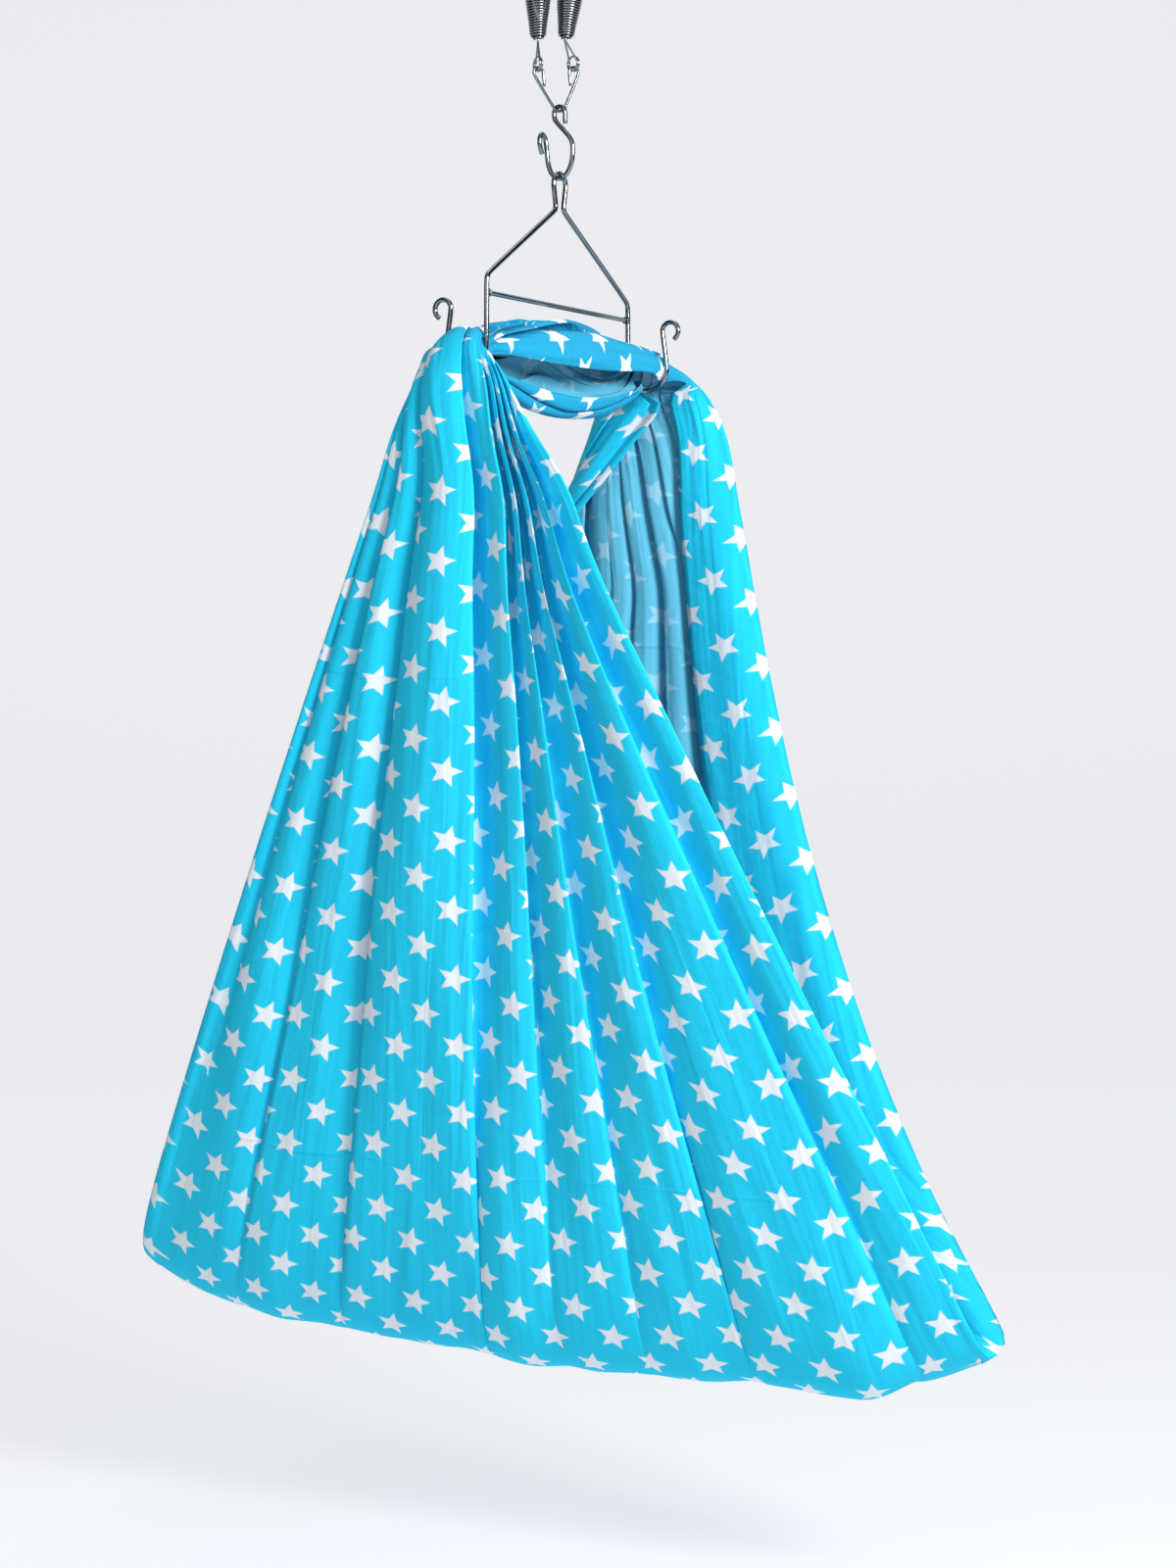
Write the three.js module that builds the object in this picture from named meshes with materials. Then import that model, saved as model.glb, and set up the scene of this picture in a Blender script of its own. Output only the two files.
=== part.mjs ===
import * as THREE from 'three';

// Hanging baby cradle: a pair of barrel springs carries a bent wire hanger, and a sewn cotton
// tube lies in the hanger's two troughs. Millimetres, +Z up, +Y along the crossbar.
// Heights below are counted from the crossbar and moved to the hanging point at the end.

// Wire sizes and clearances
const frameWire = 6;
const yokeWire = 3.8;
const eyeWire = 2.4;
const springWire = 2.5;
const seatGap = 0.3;
const linkGap = 1;
const ringGap = 1.45;
const coilGap = 0.45;

// Wire hanger
const crossbarLength = 320;
const shoulderRise = 20;
const shoulderBend = 13;
const neckRise = 112;
const neckSpacing = 15.5;
const neckBend = 9;
const hangerEyeRadius = 13.5;
const hangerEyeRise = 154.6;
const troughDrop = 86;
const troughRadius = 27;
const shaftLean = 7;
const curlRadius = 11;
const curlTopDrop = 4.7;
const weldThickness = 1.6;
const weldLength = 3.5;

// S hook, the same at both ends of the springs
const hookHeight = 84;
const hookThroatRadius = 7.4;
const hookTipLength = 13;
const hookBowlHalfWidth = 17.4;
const hookCurlReach = 12;

// Wire yoke, the same at both ends of the springs
const yokeHeight = 50.8;
const yokeHalfSpan = 24.1;
const yokeBendRadius = 9;
const yokeEyeRadius = 6.4;
const yokeEyeLength = 23.8;
const yokeArmAngle = THREE.MathUtils.degToRad(31);
const yokeTurn = THREE.MathUtils.degToRad(62);
const yokeTilt = THREE.MathUtils.degToRad(6);

// Spring eyes
const ringRadius = 8.5;
const ringTurns = 1.6;
const eyeReach = 27.5;
const legSpacing = 2.9;
const legDrift = 1;
const flareRise = 9;
const flareReach = 5.7;
const nearRingTurn = yokeTurn - Math.PI / 2;
const farRingTurn = nearRingTurn + Math.PI / 12;

// Springs
const springCurls = 36;
const springLength = 106.5;
const springEndRadius = 4.4;
const springNeckRadius = 8.6;
const springBellyRadius = 14;
const farSpringDrawIn = 11;
const farSpringLean = 13;

// Sewn cotton tube
const clothWidth = 1160;
const pouchDrop = 1228;
const pouchRoundness = 44.6;
const minusCornerLift = 85;
const plusCornerLift = 64;
const panelTopDrop = 50;
const panelTopHalfWidth = 34;
const panelTopReach = 22;
const panelThickness = 3;
const bundleThickness = 31;
const pleatDepth = 11;
const bundleTopRise = 40;
const bundleTopHalfWidth = 20.5;
const bundleCrown = 4;
const bundleLength = 36;
const bundleProud = 4.8;
const bundleGap = 0.6;
const bandDrop = 73;
const bandHalfHeight = 56;
const bandHalfDepth = 32;
const bandThickness = 9;

// Counts and steps of the round forms
const bendStep = THREE.MathUtils.degToRad(20);
const frameSides = 8;
const eyeSides = 6;
const hookSteps = 50;
const curlSteps = 8;
const curlSides = 5;
const coneCurls = 2;
const pleatCount = 6;
const panelColumns = 25;
const bandStations = 6;
const bandColumns = 10;

// Shares of the sizes above, chosen by hand
const weldHollowShares = [0.4, 0.6];
const hookCurveShares = [
  [-0.37, 0.824],
  [0, 0.732],
  [0.535, 0.619],
  [0.9, 0.52],
  [1.02, 0.4],
  [0.9, 0.2],
  [0.52, 0.054],
  [0, 0],
  [-0.52, 0.054],
  [-0.86, 0.2],
  [-0.99, 0.39],
  [-1.09, 0.545],
];
const hookCurlShares = [
  [-0.25, 0.615],
  [-0.72, 0.627],
  [-1.03, 0.55],
  [-1, 0.45],
  [-0.62, 0.354],
];
const hookCurlPlaneShare = -1.12;
const panelRowShares = [0, 0.05, 0.13, 0.24, 0.38, 0.53, 0.67, 0.79, 0.88, 0.94, 0.974, 0.992, 1];
const panelTopPlaceShare = 0.7;
const pleatRisePower = 0.9;
const bundleThinningPower = 3;
const minusLiftPower = 4;
const plusLiftPower = 6;
const nearSpreadShares = [0.9, 0.9];
const farSpreadShares = [0.85, 1.4];
const bandEndShare = 0.62;
const bandEndDropShare = 0.88;

// Finishes
const chrome = { color: 0xc8ced0, roughness: 0.16, metalness: 1 };
const springSteel = { color: 0x9fa9ab, roughness: 0.28, metalness: 1 };
const cotton = { color: 0x1cbcec, roughness: 0.85, metalness: 0 };

// Places worked out from the sizes
const alongX = new THREE.Vector3(1, 0, 0);
const alongY = new THREE.Vector3(0, 1, 0);
const alongZ = new THREE.Vector3(0, 0, 1);
const yokeLine = alongX.clone().applyAxisAngle(alongZ, yokeTurn);
const halfBar = crossbarLength / 2;
const linkStep = (frameWire + yokeWire) / 2 + linkGap;
const ringStep = (yokeWire + eyeWire) / 2 + ringGap;
const bowlLevel = hangerEyeRise - frameWire - seatGap;
const lowerApexLevel = bowlLevel + hookHeight - linkStep;
const tiltedEyeRise = yokeHeight * Math.cos(yokeTilt);
const tiltedEyeStep = yokeHalfSpan * Math.sin(yokeTilt);
const tiltedEyeShift = yokeHeight * Math.sin(yokeTilt);
const tiltedEyeOffset = yokeHalfSpan * Math.cos(yokeTilt);
const nearRingLevel = lowerApexLevel + tiltedEyeRise - tiltedEyeStep - ringStep + ringRadius;
const farRingLevel = nearRingLevel + tiltedEyeStep * 2;
const springTopLevel = farRingLevel + eyeReach + springLength;
const upperRingLevel = springTopLevel + eyeReach;
const upperApexLevel = upperRingLevel + ringRadius - ringStep + yokeHeight;
const hangingLevel = upperApexLevel - linkStep + hookHeight - frameWire / 2;
const panelHalfSpan = halfBar + panelTopReach;
const bundleFront = halfBar + bundleProud;
const bandHalfLength = bundleFront - bundleLength - seatGap;

/** A bent wire's centre line that keeps its samples where the bends put them. */
class WirePath extends THREE.Curve {
  constructor(points) {
    super();
    this.points = points;
  }

  getPointAt(share, target = new THREE.Vector3()) {
    const place = share * (this.points.length - 1);
    const index = Math.min(Math.floor(place), this.points.length - 2);
    return target.lerpVectors(this.points[index], this.points[index + 1], place - index);
  }

  getPoint(share, target) {
    return this.getPointAt(share, target);
  }

  getTangentAt(share, target = new THREE.Vector3()) {
    const last = this.points.length - 1;
    const index = Math.round(share * last);
    const before = this.points[Math.max(index - 1, 0)];
    const after = this.points[Math.min(index + 1, last)];
    return target.subVectors(after, before).normalize();
  }
}

/** One place on a wire, with the radius of the bend there. */
function corner(x, y, z, radius = 0) {
  return { at: new THREE.Vector3(x, y, z), radius };
}

/** Points along straight runs joined by round bends. */
function bentPoints(corners) {
  const points = [corners[0].at];
  for (let index = 1; index < corners.length - 1; index += 1) {
    const { at, radius } = corners[index];
    const back = corners[index - 1].at.clone().sub(at).normalize();
    const ahead = corners[index + 1].at.clone().sub(at).normalize();
    const turn = Math.PI - back.angleTo(ahead);
    if (radius === 0 || turn < bendStep / 2) {
      points.push(at);
      continue;
    }
    const trim = radius * Math.tan(turn / 2);
    const middle = back.clone().add(ahead).normalize();
    const centre = at.clone().addScaledVector(middle, radius / Math.cos(turn / 2));
    const first = at.clone().addScaledVector(back, trim).sub(centre);
    const axis = new THREE.Vector3().crossVectors(ahead, back).normalize();
    const steps = Math.ceil(turn / bendStep);
    for (let step = 0; step <= steps; step += 1) {
      const swung = first.clone().applyAxisAngle(axis, (turn * step) / steps);
      points.push(swung.add(centre));
    }
  }
  points.push(corners[corners.length - 1].at);
  return points;
}

/** Corners on an arc in the plane of two directions, drifting evenly along the third. */
function arcCorners(centre, radius, from, to, across, up, drift = [0, 0]) {
  const side = new THREE.Vector3().crossVectors(across, up);
  const steps = Math.ceil(Math.abs(to - from) / bendStep);
  const corners = [];
  for (let step = 0; step <= steps; step += 1) {
    const share = step / steps;
    const angle = from + (to - from) * share;
    const at = centre.clone();
    at.addScaledVector(across, radius * Math.cos(angle));
    at.addScaledVector(up, radius * Math.sin(angle));
    at.addScaledVector(side, THREE.MathUtils.lerp(drift[0], drift[1], share));
    corners.push({ at, radius: 0 });
  }
  return corners;
}

/** A round wire swept along points. */
function wireGeometry(points, diameter, sides) {
  const section = new THREE.Shape();
  for (let side = 0; side < sides; side += 1) {
    const angle = (Math.PI * 2 * (side + 0.5)) / sides;
    const x = (diameter / 2) * Math.cos(angle);
    const y = (diameter / 2) * Math.sin(angle);
    if (side === 0) section.moveTo(x, y);
    else section.lineTo(x, y);
  }
  section.closePath();
  const path = new WirePath(points);
  return new THREE.ExtrudeGeometry(section, {
    steps: points.length - 1,
    extrudePath: path,
    bevelEnabled: false,
  });
}

/** A closed shell between two grids of points with the same rows and columns. */
function shellGeometry(outer, inner) {
  const rows = outer.length;
  const columns = outer[0].length;
  const positions = [];
  for (const grid of [outer, inner]) {
    for (const row of grid) {
      for (const point of row) positions.push(point.x, point.y, point.z);
    }
  }
  const at = (grid, row, column) => grid * rows * columns + row * columns + column;
  const triangles = [];
  const quad = (a, b, c, d) => triangles.push(a, b, c, a, c, d);
  for (let row = 0; row < rows - 1; row += 1) {
    for (let column = 0; column < columns - 1; column += 1) {
      quad(at(0, row, column), at(0, row + 1, column), at(0, row + 1, column + 1), at(0, row, column + 1));
      quad(at(1, row, column), at(1, row, column + 1), at(1, row + 1, column + 1), at(1, row + 1, column));
    }
    const last = columns - 1;
    quad(at(0, row, 0), at(1, row, 0), at(1, row + 1, 0), at(0, row + 1, 0));
    quad(at(0, row, last), at(0, row + 1, last), at(1, row + 1, last), at(1, row, last));
  }
  for (let column = 0; column < columns - 1; column += 1) {
    const end = rows - 1;
    quad(at(0, 0, column), at(0, 0, column + 1), at(1, 0, column + 1), at(1, 0, column));
    quad(at(0, end, column), at(1, end, column), at(1, end, column + 1), at(0, end, column + 1));
  }
  const geometry = new THREE.BufferGeometry();
  geometry.setAttribute('position', new THREE.Float32BufferAttribute(positions, 3));
  geometry.setIndex(triangles);
  return geometry;
}

/** A named piece with its own finish. */
function piece(name, geometry, finish) {
  const mesh = new THREE.Mesh(geometry, new THREE.MeshStandardMaterial(finish));
  mesh.name = name;
  return mesh;
}

/** Half of the hanger's wire, from the middle of its eye to the free end of the far curl. */
function hangerHalf() {
  const eyeCentre = new THREE.Vector3(0, 0, hangerEyeRise - hangerEyeRadius);
  const troughCentre = new THREE.Vector3(troughRadius, halfBar, troughRadius - troughDrop);
  const shaftTop = troughRadius * 2 - shaftLean;
  const curlCentre = new THREE.Vector3(shaftTop + curlRadius, halfBar, -curlTopDrop - curlRadius);
  return [
    ...arcCorners(eyeCentre, hangerEyeRadius, Math.PI / 2, -Math.PI / 15, alongY, alongZ),
    corner(0, neckSpacing / 2, neckRise, neckBend),
    corner(0, halfBar, shoulderRise, shoulderBend),
    ...arcCorners(troughCentre, troughRadius, Math.PI, Math.PI * 2, alongX, alongZ),
    ...arcCorners(curlCentre, curlRadius, Math.PI, -Math.PI / 3, alongX, alongZ),
  ];
}

/** The one-piece wire hanger: eye, arms, legs, troughs and curls. */
function hangerWire() {
  const half = hangerHalf();
  const turned = half.slice(1).map(({ at, radius }) => corner(-at.x, -at.y, at.z, radius));
  const points = bentPoints([...turned.reverse(), ...half]);
  return piece('hanger_wire', wireGeometry(points, frameWire, frameSides), chrome);
}

/** The straight rod between the hanger's legs. */
function crossbar() {
  const length = crossbarLength - frameWire - seatGap * 2;
  const geometry = new THREE.CylinderGeometry(frameWire / 2, frameWire / 2, length, frameSides * 2);
  return piece('crossbar', geometry, chrome);
}

/** The weld bead round one end of the crossbar. */
function weldBead(name, side) {
  const inner = frameWire / 2 + seatGap;
  const outer = inner + weldThickness;
  const profile = [
    new THREE.Vector2(inner, 0),
    new THREE.Vector2((inner + outer) / 2, 0),
    new THREE.Vector2(inner + weldThickness * weldHollowShares[0], weldLength * weldHollowShares[1]),
    new THREE.Vector2(outer, weldLength),
    new THREE.Vector2(inner, weldLength),
    new THREE.Vector2(inner, 0),
  ];
  const mesh = piece(name, new THREE.LatheGeometry(profile, frameSides * 2), chrome);
  mesh.rotation.x = side > 0 ? 0 : Math.PI;
  mesh.position.y = side * (halfBar - frameWire / 2 - seatGap - weldLength);
  return mesh;
}

/** An S hook whose bowl's lowest point is its origin, with the throat at the top. */
function hookMesh(name) {
  const throatLevel = hookHeight - hookThroatRadius;
  const throatCentre = new THREE.Vector3(0, 0, throatLevel);
  const throat = arcCorners(throatCentre, hookThroatRadius, 0, Math.PI, alongX, alongZ);
  const throatPoints = throat.map(({ at }) => at);
  const curlPlane = hookBowlHalfWidth * hookCurlPlaneShare;
  const bowl = hookCurveShares.map(([x, z]) => new THREE.Vector3(hookBowlHalfWidth * x, 0, hookHeight * z));
  const curl = hookCurlShares.map(([y, z]) => new THREE.Vector3(curlPlane, hookCurlReach * y, hookHeight * z));
  const waypoints = [...throatPoints.slice(-2), ...bowl, ...curl];
  const curve = new THREE.CatmullRomCurve3(waypoints, false, 'centripetal');
  const points = [
    new THREE.Vector3(hookThroatRadius, 0, throatLevel - hookTipLength),
    ...throatPoints.slice(0, -2),
    ...curve.getSpacedPoints(hookSteps),
  ];
  return piece(name, wireGeometry(points, frameWire, frameSides), chrome);
}

/** Half of a yoke: from the middle of its bend up an arm, round the eye and back to the arm. */
function yokeHalf() {
  const bendCentre = new THREE.Vector3(0, 0, yokeBendRadius);
  const eyeCentre = new THREE.Vector3(yokeHalfSpan, 0, yokeHeight - yokeEyeRadius);
  const bend = arcCorners(bendCentre, yokeBendRadius, -Math.PI / 2, -yokeArmAngle, alongX, alongZ);
  const armStart = bend[bend.length - 1].at;
  const elbowLevel = yokeHeight - yokeEyeLength;
  const elbowPlace = armStart.x + (elbowLevel - armStart.z) * Math.tan(yokeArmAngle);
  const aside = yokeWire + seatGap;
  const tailPlace = elbowPlace - aside * Math.cos(yokeArmAngle);
  const tailLevel = elbowLevel + aside * Math.sin(yokeArmAngle);
  return [
    ...bend,
    corner(elbowPlace, 0, elbowLevel, yokeBendRadius),
    ...arcCorners(eyeCentre, yokeEyeRadius, -Math.PI / 12, Math.PI, alongX, alongZ),
    corner(tailPlace, 0, tailLevel),
  ];
}

/** A yoke with its bend at the origin and its eyes above it. */
function yokeMesh(name) {
  const half = yokeHalf();
  const other = half.slice(1).map(({ at, radius }) => corner(-at.x, at.y, at.z, radius));
  const points = bentPoints([...other.reverse(), ...half]);
  return piece(name, wireGeometry(points, yokeWire, frameSides), chrome);
}

/** A wire eye: its ring hangs at a place and its two legs flare inside the end of a spring. */
function eyeMesh(name, ringPlace, springEnd, springAxis, turn, flip) {
  const quaternion = new THREE.Quaternion().setFromAxisAngle(alongZ, turn);
  quaternion.multiply(new THREE.Quaternion().setFromAxisAngle(alongX, flip));
  const toRing = quaternion.clone().invert();
  const end = springEnd.clone().sub(ringPlace).applyQuaternion(toRing);
  const axis = springAxis.clone().applyQuaternion(toRing);
  const drift = ((eyeWire + coilGap) * ringTurns) / 2;
  const middle = Math.PI * 2.5;
  const sweep = Math.PI * ringTurns;
  const origin = new THREE.Vector3();
  const ring = arcCorners(origin, ringRadius, middle - sweep, middle + sweep, alongX, alongZ, [-drift, drift]);
  const leg = (sign) => {
    const place = (rise, reach, radius) => {
      const at = end.clone().addScaledVector(axis, rise);
      at.addScaledVector(alongX, sign * reach).addScaledVector(alongY, -sign * legDrift);
      return { at, radius };
    };
    return [
      place(flareRise, flareReach, 0),
      place(flareRise / 2, legSpacing / 2, eyeWire * 2),
      place(-eyeWire, legSpacing / 2, eyeWire * 3),
    ];
  };
  const points = bentPoints([...leg(-1), ...ring, ...leg(1).reverse()]);
  const mesh = piece(name, wireGeometry(points, eyeWire, eyeSides), springSteel);
  mesh.position.copy(ringPlace);
  mesh.quaternion.copy(quaternion);
  return mesh;
}

/** The radius of a barrel spring's centre line at a share of its length. */
function springRadius(share) {
  const toEnd = Math.min(share, 1 - share);
  const cone = Math.min((toEnd * springCurls) / coneCurls, 1);
  const swell = THREE.MathUtils.smoothstep(toEnd, 0, 0.5);
  const neck = THREE.MathUtils.lerp(springEndRadius, springNeckRadius, Math.sin((cone * Math.PI) / 2));
  return neck + (springBellyRadius - springNeckRadius) * swell;
}

/** The centre line of a spring from its lower end to its upper end. */
function springPoints(lowerEnd, upperEnd) {
  const axis = upperEnd.clone().sub(lowerEnd);
  const length = axis.length();
  const tilt = new THREE.Quaternion().setFromUnitVectors(alongZ, axis.normalize());
  const total = springCurls * curlSteps;
  const points = [];
  for (let step = 0; step <= total; step += 1) {
    const share = step / total;
    const angle = (Math.PI * 2 * step) / curlSteps;
    const radius = springRadius(share);
    const inset = THREE.MathUtils.lerp(springWire / 2, length - springWire / 2, share);
    const at = new THREE.Vector3(radius * Math.cos(angle), radius * Math.sin(angle), inset);
    points.push(at.applyQuaternion(tilt).add(lowerEnd));
  }
  const straight = (from, towards) => {
    const along = from.clone().sub(towards).setZ(0).normalize();
    return from.clone().addScaledVector(along, springWire);
  };
  points.unshift(straight(points[0], points[1]));
  points.push(straight(points[points.length - 1], points[points.length - 2]));
  return points;
}

/** The least clear distance between a spring's curls, measured on its centre line. */
function leastCurlGap(points) {
  let least = Infinity;
  for (let first = 0; first < points.length; first += 1) {
    for (let second = first + curlSteps / 2; second < points.length; second += 1) {
      least = Math.min(least, points[first].distanceTo(points[second]));
    }
  }
  return least - springWire;
}

/** One unbroken tube of curls along a spring's centre line. */
function springMesh(name, lowerEnd, upperEnd) {
  const points = springPoints(lowerEnd, upperEnd);
  console.log(`${name}: least gap between curls ${leastCurlGap(points).toFixed(3)} mm`);
  const axis = upperEnd.clone().sub(lowerEnd).normalize();
  const positions = [];
  const triangles = [];
  points.forEach((point, index) => {
    const before = points[Math.max(index - 1, 0)];
    const after = points[Math.min(index + 1, points.length - 1)];
    const tangent = after.clone().sub(before).normalize();
    const outward = new THREE.Vector3().crossVectors(tangent, axis).normalize();
    const upward = new THREE.Vector3().crossVectors(outward, tangent);
    for (let side = 0; side < curlSides; side += 1) {
      const angle = (Math.PI * 2 * side) / curlSides;
      const at = point.clone();
      at.addScaledVector(outward, (springWire / 2) * Math.cos(angle));
      at.addScaledVector(upward, (springWire / 2) * Math.sin(angle));
      positions.push(at.x, at.y, at.z);
    }
  });
  for (let index = 0; index < points.length - 1; index += 1) {
    for (let side = 0; side < curlSides; side += 1) {
      const a = index * curlSides + side;
      const b = index * curlSides + ((side + 1) % curlSides);
      triangles.push(a, b + curlSides, b, a, a + curlSides, b + curlSides);
    }
  }
  const lastRing = (points.length - 1) * curlSides;
  for (let side = 1; side < curlSides - 1; side += 1) {
    triangles.push(0, side, side + 1);
    triangles.push(lastRing, lastRing + side + 1, lastRing + side);
  }
  const geometry = new THREE.BufferGeometry();
  geometry.setAttribute('position', new THREE.Float32BufferAttribute(positions, 3));
  geometry.setIndex(triangles);
  return piece(name, geometry, springSteel);
}

/** The level of the tube's lowest line at a place across its width, from -1 to 1. */
function pouchLevel(across) {
  const minusLift = minusCornerLift * across ** minusLiftPower;
  const plusLift = plusCornerLift * across ** plusLiftPower;
  const lift = across < 0 ? minusLift : plusLift;
  return lift - pouchDrop;
}

/** One point in the middle of a hanging panel's cloth, with the cloth's outward direction. */
function panelPoint(side, across, fall) {
  const bottom = pouchLevel(across);
  const drop = -panelTopDrop - bottom;
  const level = bottom + drop * (1 - fall);
  const slope = Math.acosh(1 + (drop * (1 - fall)) / pouchRoundness);
  const reach = (panelHalfSpan * slope) / Math.acosh(1 + drop / pouchRoundness);
  const [minusPower, plusPower] = side < 0 ? nearSpreadShares : farSpreadShares;
  const spread = fall ** THREE.MathUtils.mapLinear(across, -1, 1, minusPower, plusPower);
  const top = side * troughRadius * panelTopPlaceShare + across * panelTopHalfWidth;
  const place = THREE.MathUtils.lerp(top, (across * clothWidth) / 2, spread);
  const at = new THREE.Vector3(place, side * Math.max(reach, seatGap / 2), level);
  const outward = new THREE.Vector3(0, side * Math.tanh(slope), -1 / Math.cosh(slope));
  return { at, outward };
}

/** A hanging panel of the tube with its main pleats, thick where it is gathered. */
function panelMesh(name, side) {
  const outer = [];
  const inner = [];
  for (const fall of panelRowShares) {
    const thickness = panelThickness + (bundleThickness - panelThickness) * (1 - fall) ** bundleThinningPower;
    const depth = pleatDepth * Math.sin(Math.PI * fall ** pleatRisePower);
    const outerRow = [];
    const innerRow = [];
    for (let column = 0; column <= panelColumns; column += 1) {
      const share = column / panelColumns;
      const { at, outward } = panelPoint(side, share * 2 - 1, fall);
      const wave = depth * Math.cos(Math.PI * 2 * pleatCount * share);
      outerRow.push(at.clone().addScaledVector(outward, wave + thickness / 2));
      innerRow.push(at.clone().addScaledVector(outward, wave - thickness / 2));
    }
    outer.push(outerRow);
    inner.push(innerRow);
  }
  const geometry = side < 0 ? shellGeometry(outer, inner) : shellGeometry(inner, outer);
  return piece(name, geometry, cotton);
}

/** The gathered cloth that lies through one trough of the hanger. */
function bundleMesh(name, side) {
  const radius = troughRadius - frameWire / 2 - bundleGap;
  const section = new THREE.Shape();
  const top = troughDrop - troughRadius - bundleTopRise;
  section.absarc(0, 0, radius, Math.PI, Math.PI * 2, false);
  section.lineTo(bundleTopHalfWidth, top);
  section.quadraticCurveTo(0, top + bundleCrown * 2, -bundleTopHalfWidth, top);
  section.closePath();
  const settings = { depth: bundleLength, bevelEnabled: false, curveSegments: frameSides };
  const mesh = piece(name, new THREE.ExtrudeGeometry(section, settings), cotton);
  mesh.rotation.x = Math.PI / 2;
  mesh.position.x = side * troughRadius;
  mesh.position.y = side > 0 ? bundleFront : bundleLength - bundleFront;
  mesh.position.z = troughRadius - troughDrop;
  return mesh;
}

/** The loose roll of cloth between the troughs, open along one side. */
function bandMesh(name) {
  const outer = [];
  const inner = [];
  for (let station = 0; station <= bandStations; station += 1) {
    const share = station / bandStations;
    const swell = THREE.MathUtils.lerp(bandEndShare, 1, Math.sin(Math.PI * share));
    const level = -bandDrop * THREE.MathUtils.lerp(bandEndDropShare, 1, Math.sin(Math.PI * share));
    const place = THREE.MathUtils.lerp(-troughRadius, troughRadius, share);
    const y = THREE.MathUtils.lerp(-bandHalfLength, bandHalfLength, share);
    const row = (inset) => {
      const points = [];
      for (let column = 0; column <= bandColumns; column += 1) {
        const angle = THREE.MathUtils.mapLinear(column, 0, bandColumns, Math.PI / 4, Math.PI * 1.75);
        const x = place + (bandHalfDepth * swell - inset) * Math.cos(angle);
        const z = level + (bandHalfHeight * swell - inset) * Math.sin(angle);
        points.push(new THREE.Vector3(x, y, z));
      }
      return points;
    };
    outer.push(row(0));
    inner.push(row(bandThickness));
  }
  return piece(name, shellGeometry(outer, inner), cotton);
}

/** A place on the plane of the yokes, a distance along it from the middle at a level. */
function onYokePlane(along, level) {
  return yokeLine.clone().multiplyScalar(along).setZ(level);
}

/** The two springs with the wire eyes that turn in their ends. */
function springSet() {
  const upright = onYokePlane(0, 1);
  const nearPlace = -tiltedEyeShift - tiltedEyeOffset;
  const farPlace = tiltedEyeOffset - tiltedEyeShift;
  const nearLow = onYokePlane(nearPlace, nearRingLevel + eyeReach);
  const nearHigh = onYokePlane(nearPlace, springTopLevel);
  const farLow = onYokePlane(farPlace - farSpringDrawIn, farRingLevel + eyeReach);
  const farHigh = onYokePlane(farPlace - farSpringDrawIn + farSpringLean, springTopLevel);
  const lean = farHigh.clone().sub(farLow).normalize();
  const sink = lean.clone().negate();
  const nearRing = onYokePlane(nearPlace, nearRingLevel);
  const farRing = onYokePlane(farPlace, farRingLevel);
  const upperNearRing = onYokePlane(-yokeHalfSpan, upperRingLevel);
  const upperFarRing = onYokePlane(yokeHalfSpan, upperRingLevel);
  const fall = upright.clone().negate();
  return [
    springMesh('spring_near', nearLow, nearHigh),
    springMesh('spring_far', farLow, farHigh),
    eyeMesh('lower_eye_near', nearRing, nearLow, upright, nearRingTurn, 0),
    eyeMesh('lower_eye_far', farRing, farLow, lean, farRingTurn, 0),
    eyeMesh('upper_eye_near', upperNearRing, nearHigh, fall, nearRingTurn, Math.PI),
    eyeMesh('upper_eye_far', upperFarRing, farHigh, sink, farRingTurn, Math.PI),
  ];
}

/** The two yokes and the two S hooks. */
function links() {
  const topHook = hookMesh('top_hook');
  topHook.rotation.x = Math.PI;
  topHook.position.z = hangingLevel + frameWire / 2;
  const sHook = hookMesh('s_hook');
  sHook.position.z = bowlLevel;
  const upperYoke = yokeMesh('upper_yoke');
  upperYoke.rotation.set(Math.PI, 0, yokeTurn, 'ZYX');
  upperYoke.position.z = upperApexLevel;
  const lowerYoke = yokeMesh('lower_yoke');
  lowerYoke.rotation.set(0, -yokeTilt, yokeTurn, 'ZYX');
  lowerYoke.position.z = lowerApexLevel;
  return [topHook, upperYoke, lowerYoke, sHook];
}

/** The bent wire hanger with its welded crossbar. */
function hanger() {
  return [hangerWire(), crossbar(), weldBead('weld_near', -1), weldBead('weld_far', 1)];
}

/** The sewn tube of cloth where it hangs empty. */
function sling() {
  return [
    panelMesh('sling_near_panel', -1),
    panelMesh('sling_far_panel', 1),
    bundleMesh('sling_near_gather', -1),
    bundleMesh('sling_far_gather', 1),
    bandMesh('sling_top_band'),
  ];
}

const cradle = new THREE.Group();
cradle.name = 'hanging_baby_cradle';
cradle.position.z = -hangingLevel;
cradle.add(...links(), ...springSet(), ...hanger(), ...sling());

export default cradle;
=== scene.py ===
"""Dresses the hanging baby cradle: bright bent wire, close-wound springs and a star-printed cotton sling."""

import logging
import math
from collections.abc import Iterable, Mapping, Sequence
from dataclasses import dataclass, field
from enum import Enum
from typing import Any, ClassVar

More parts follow.
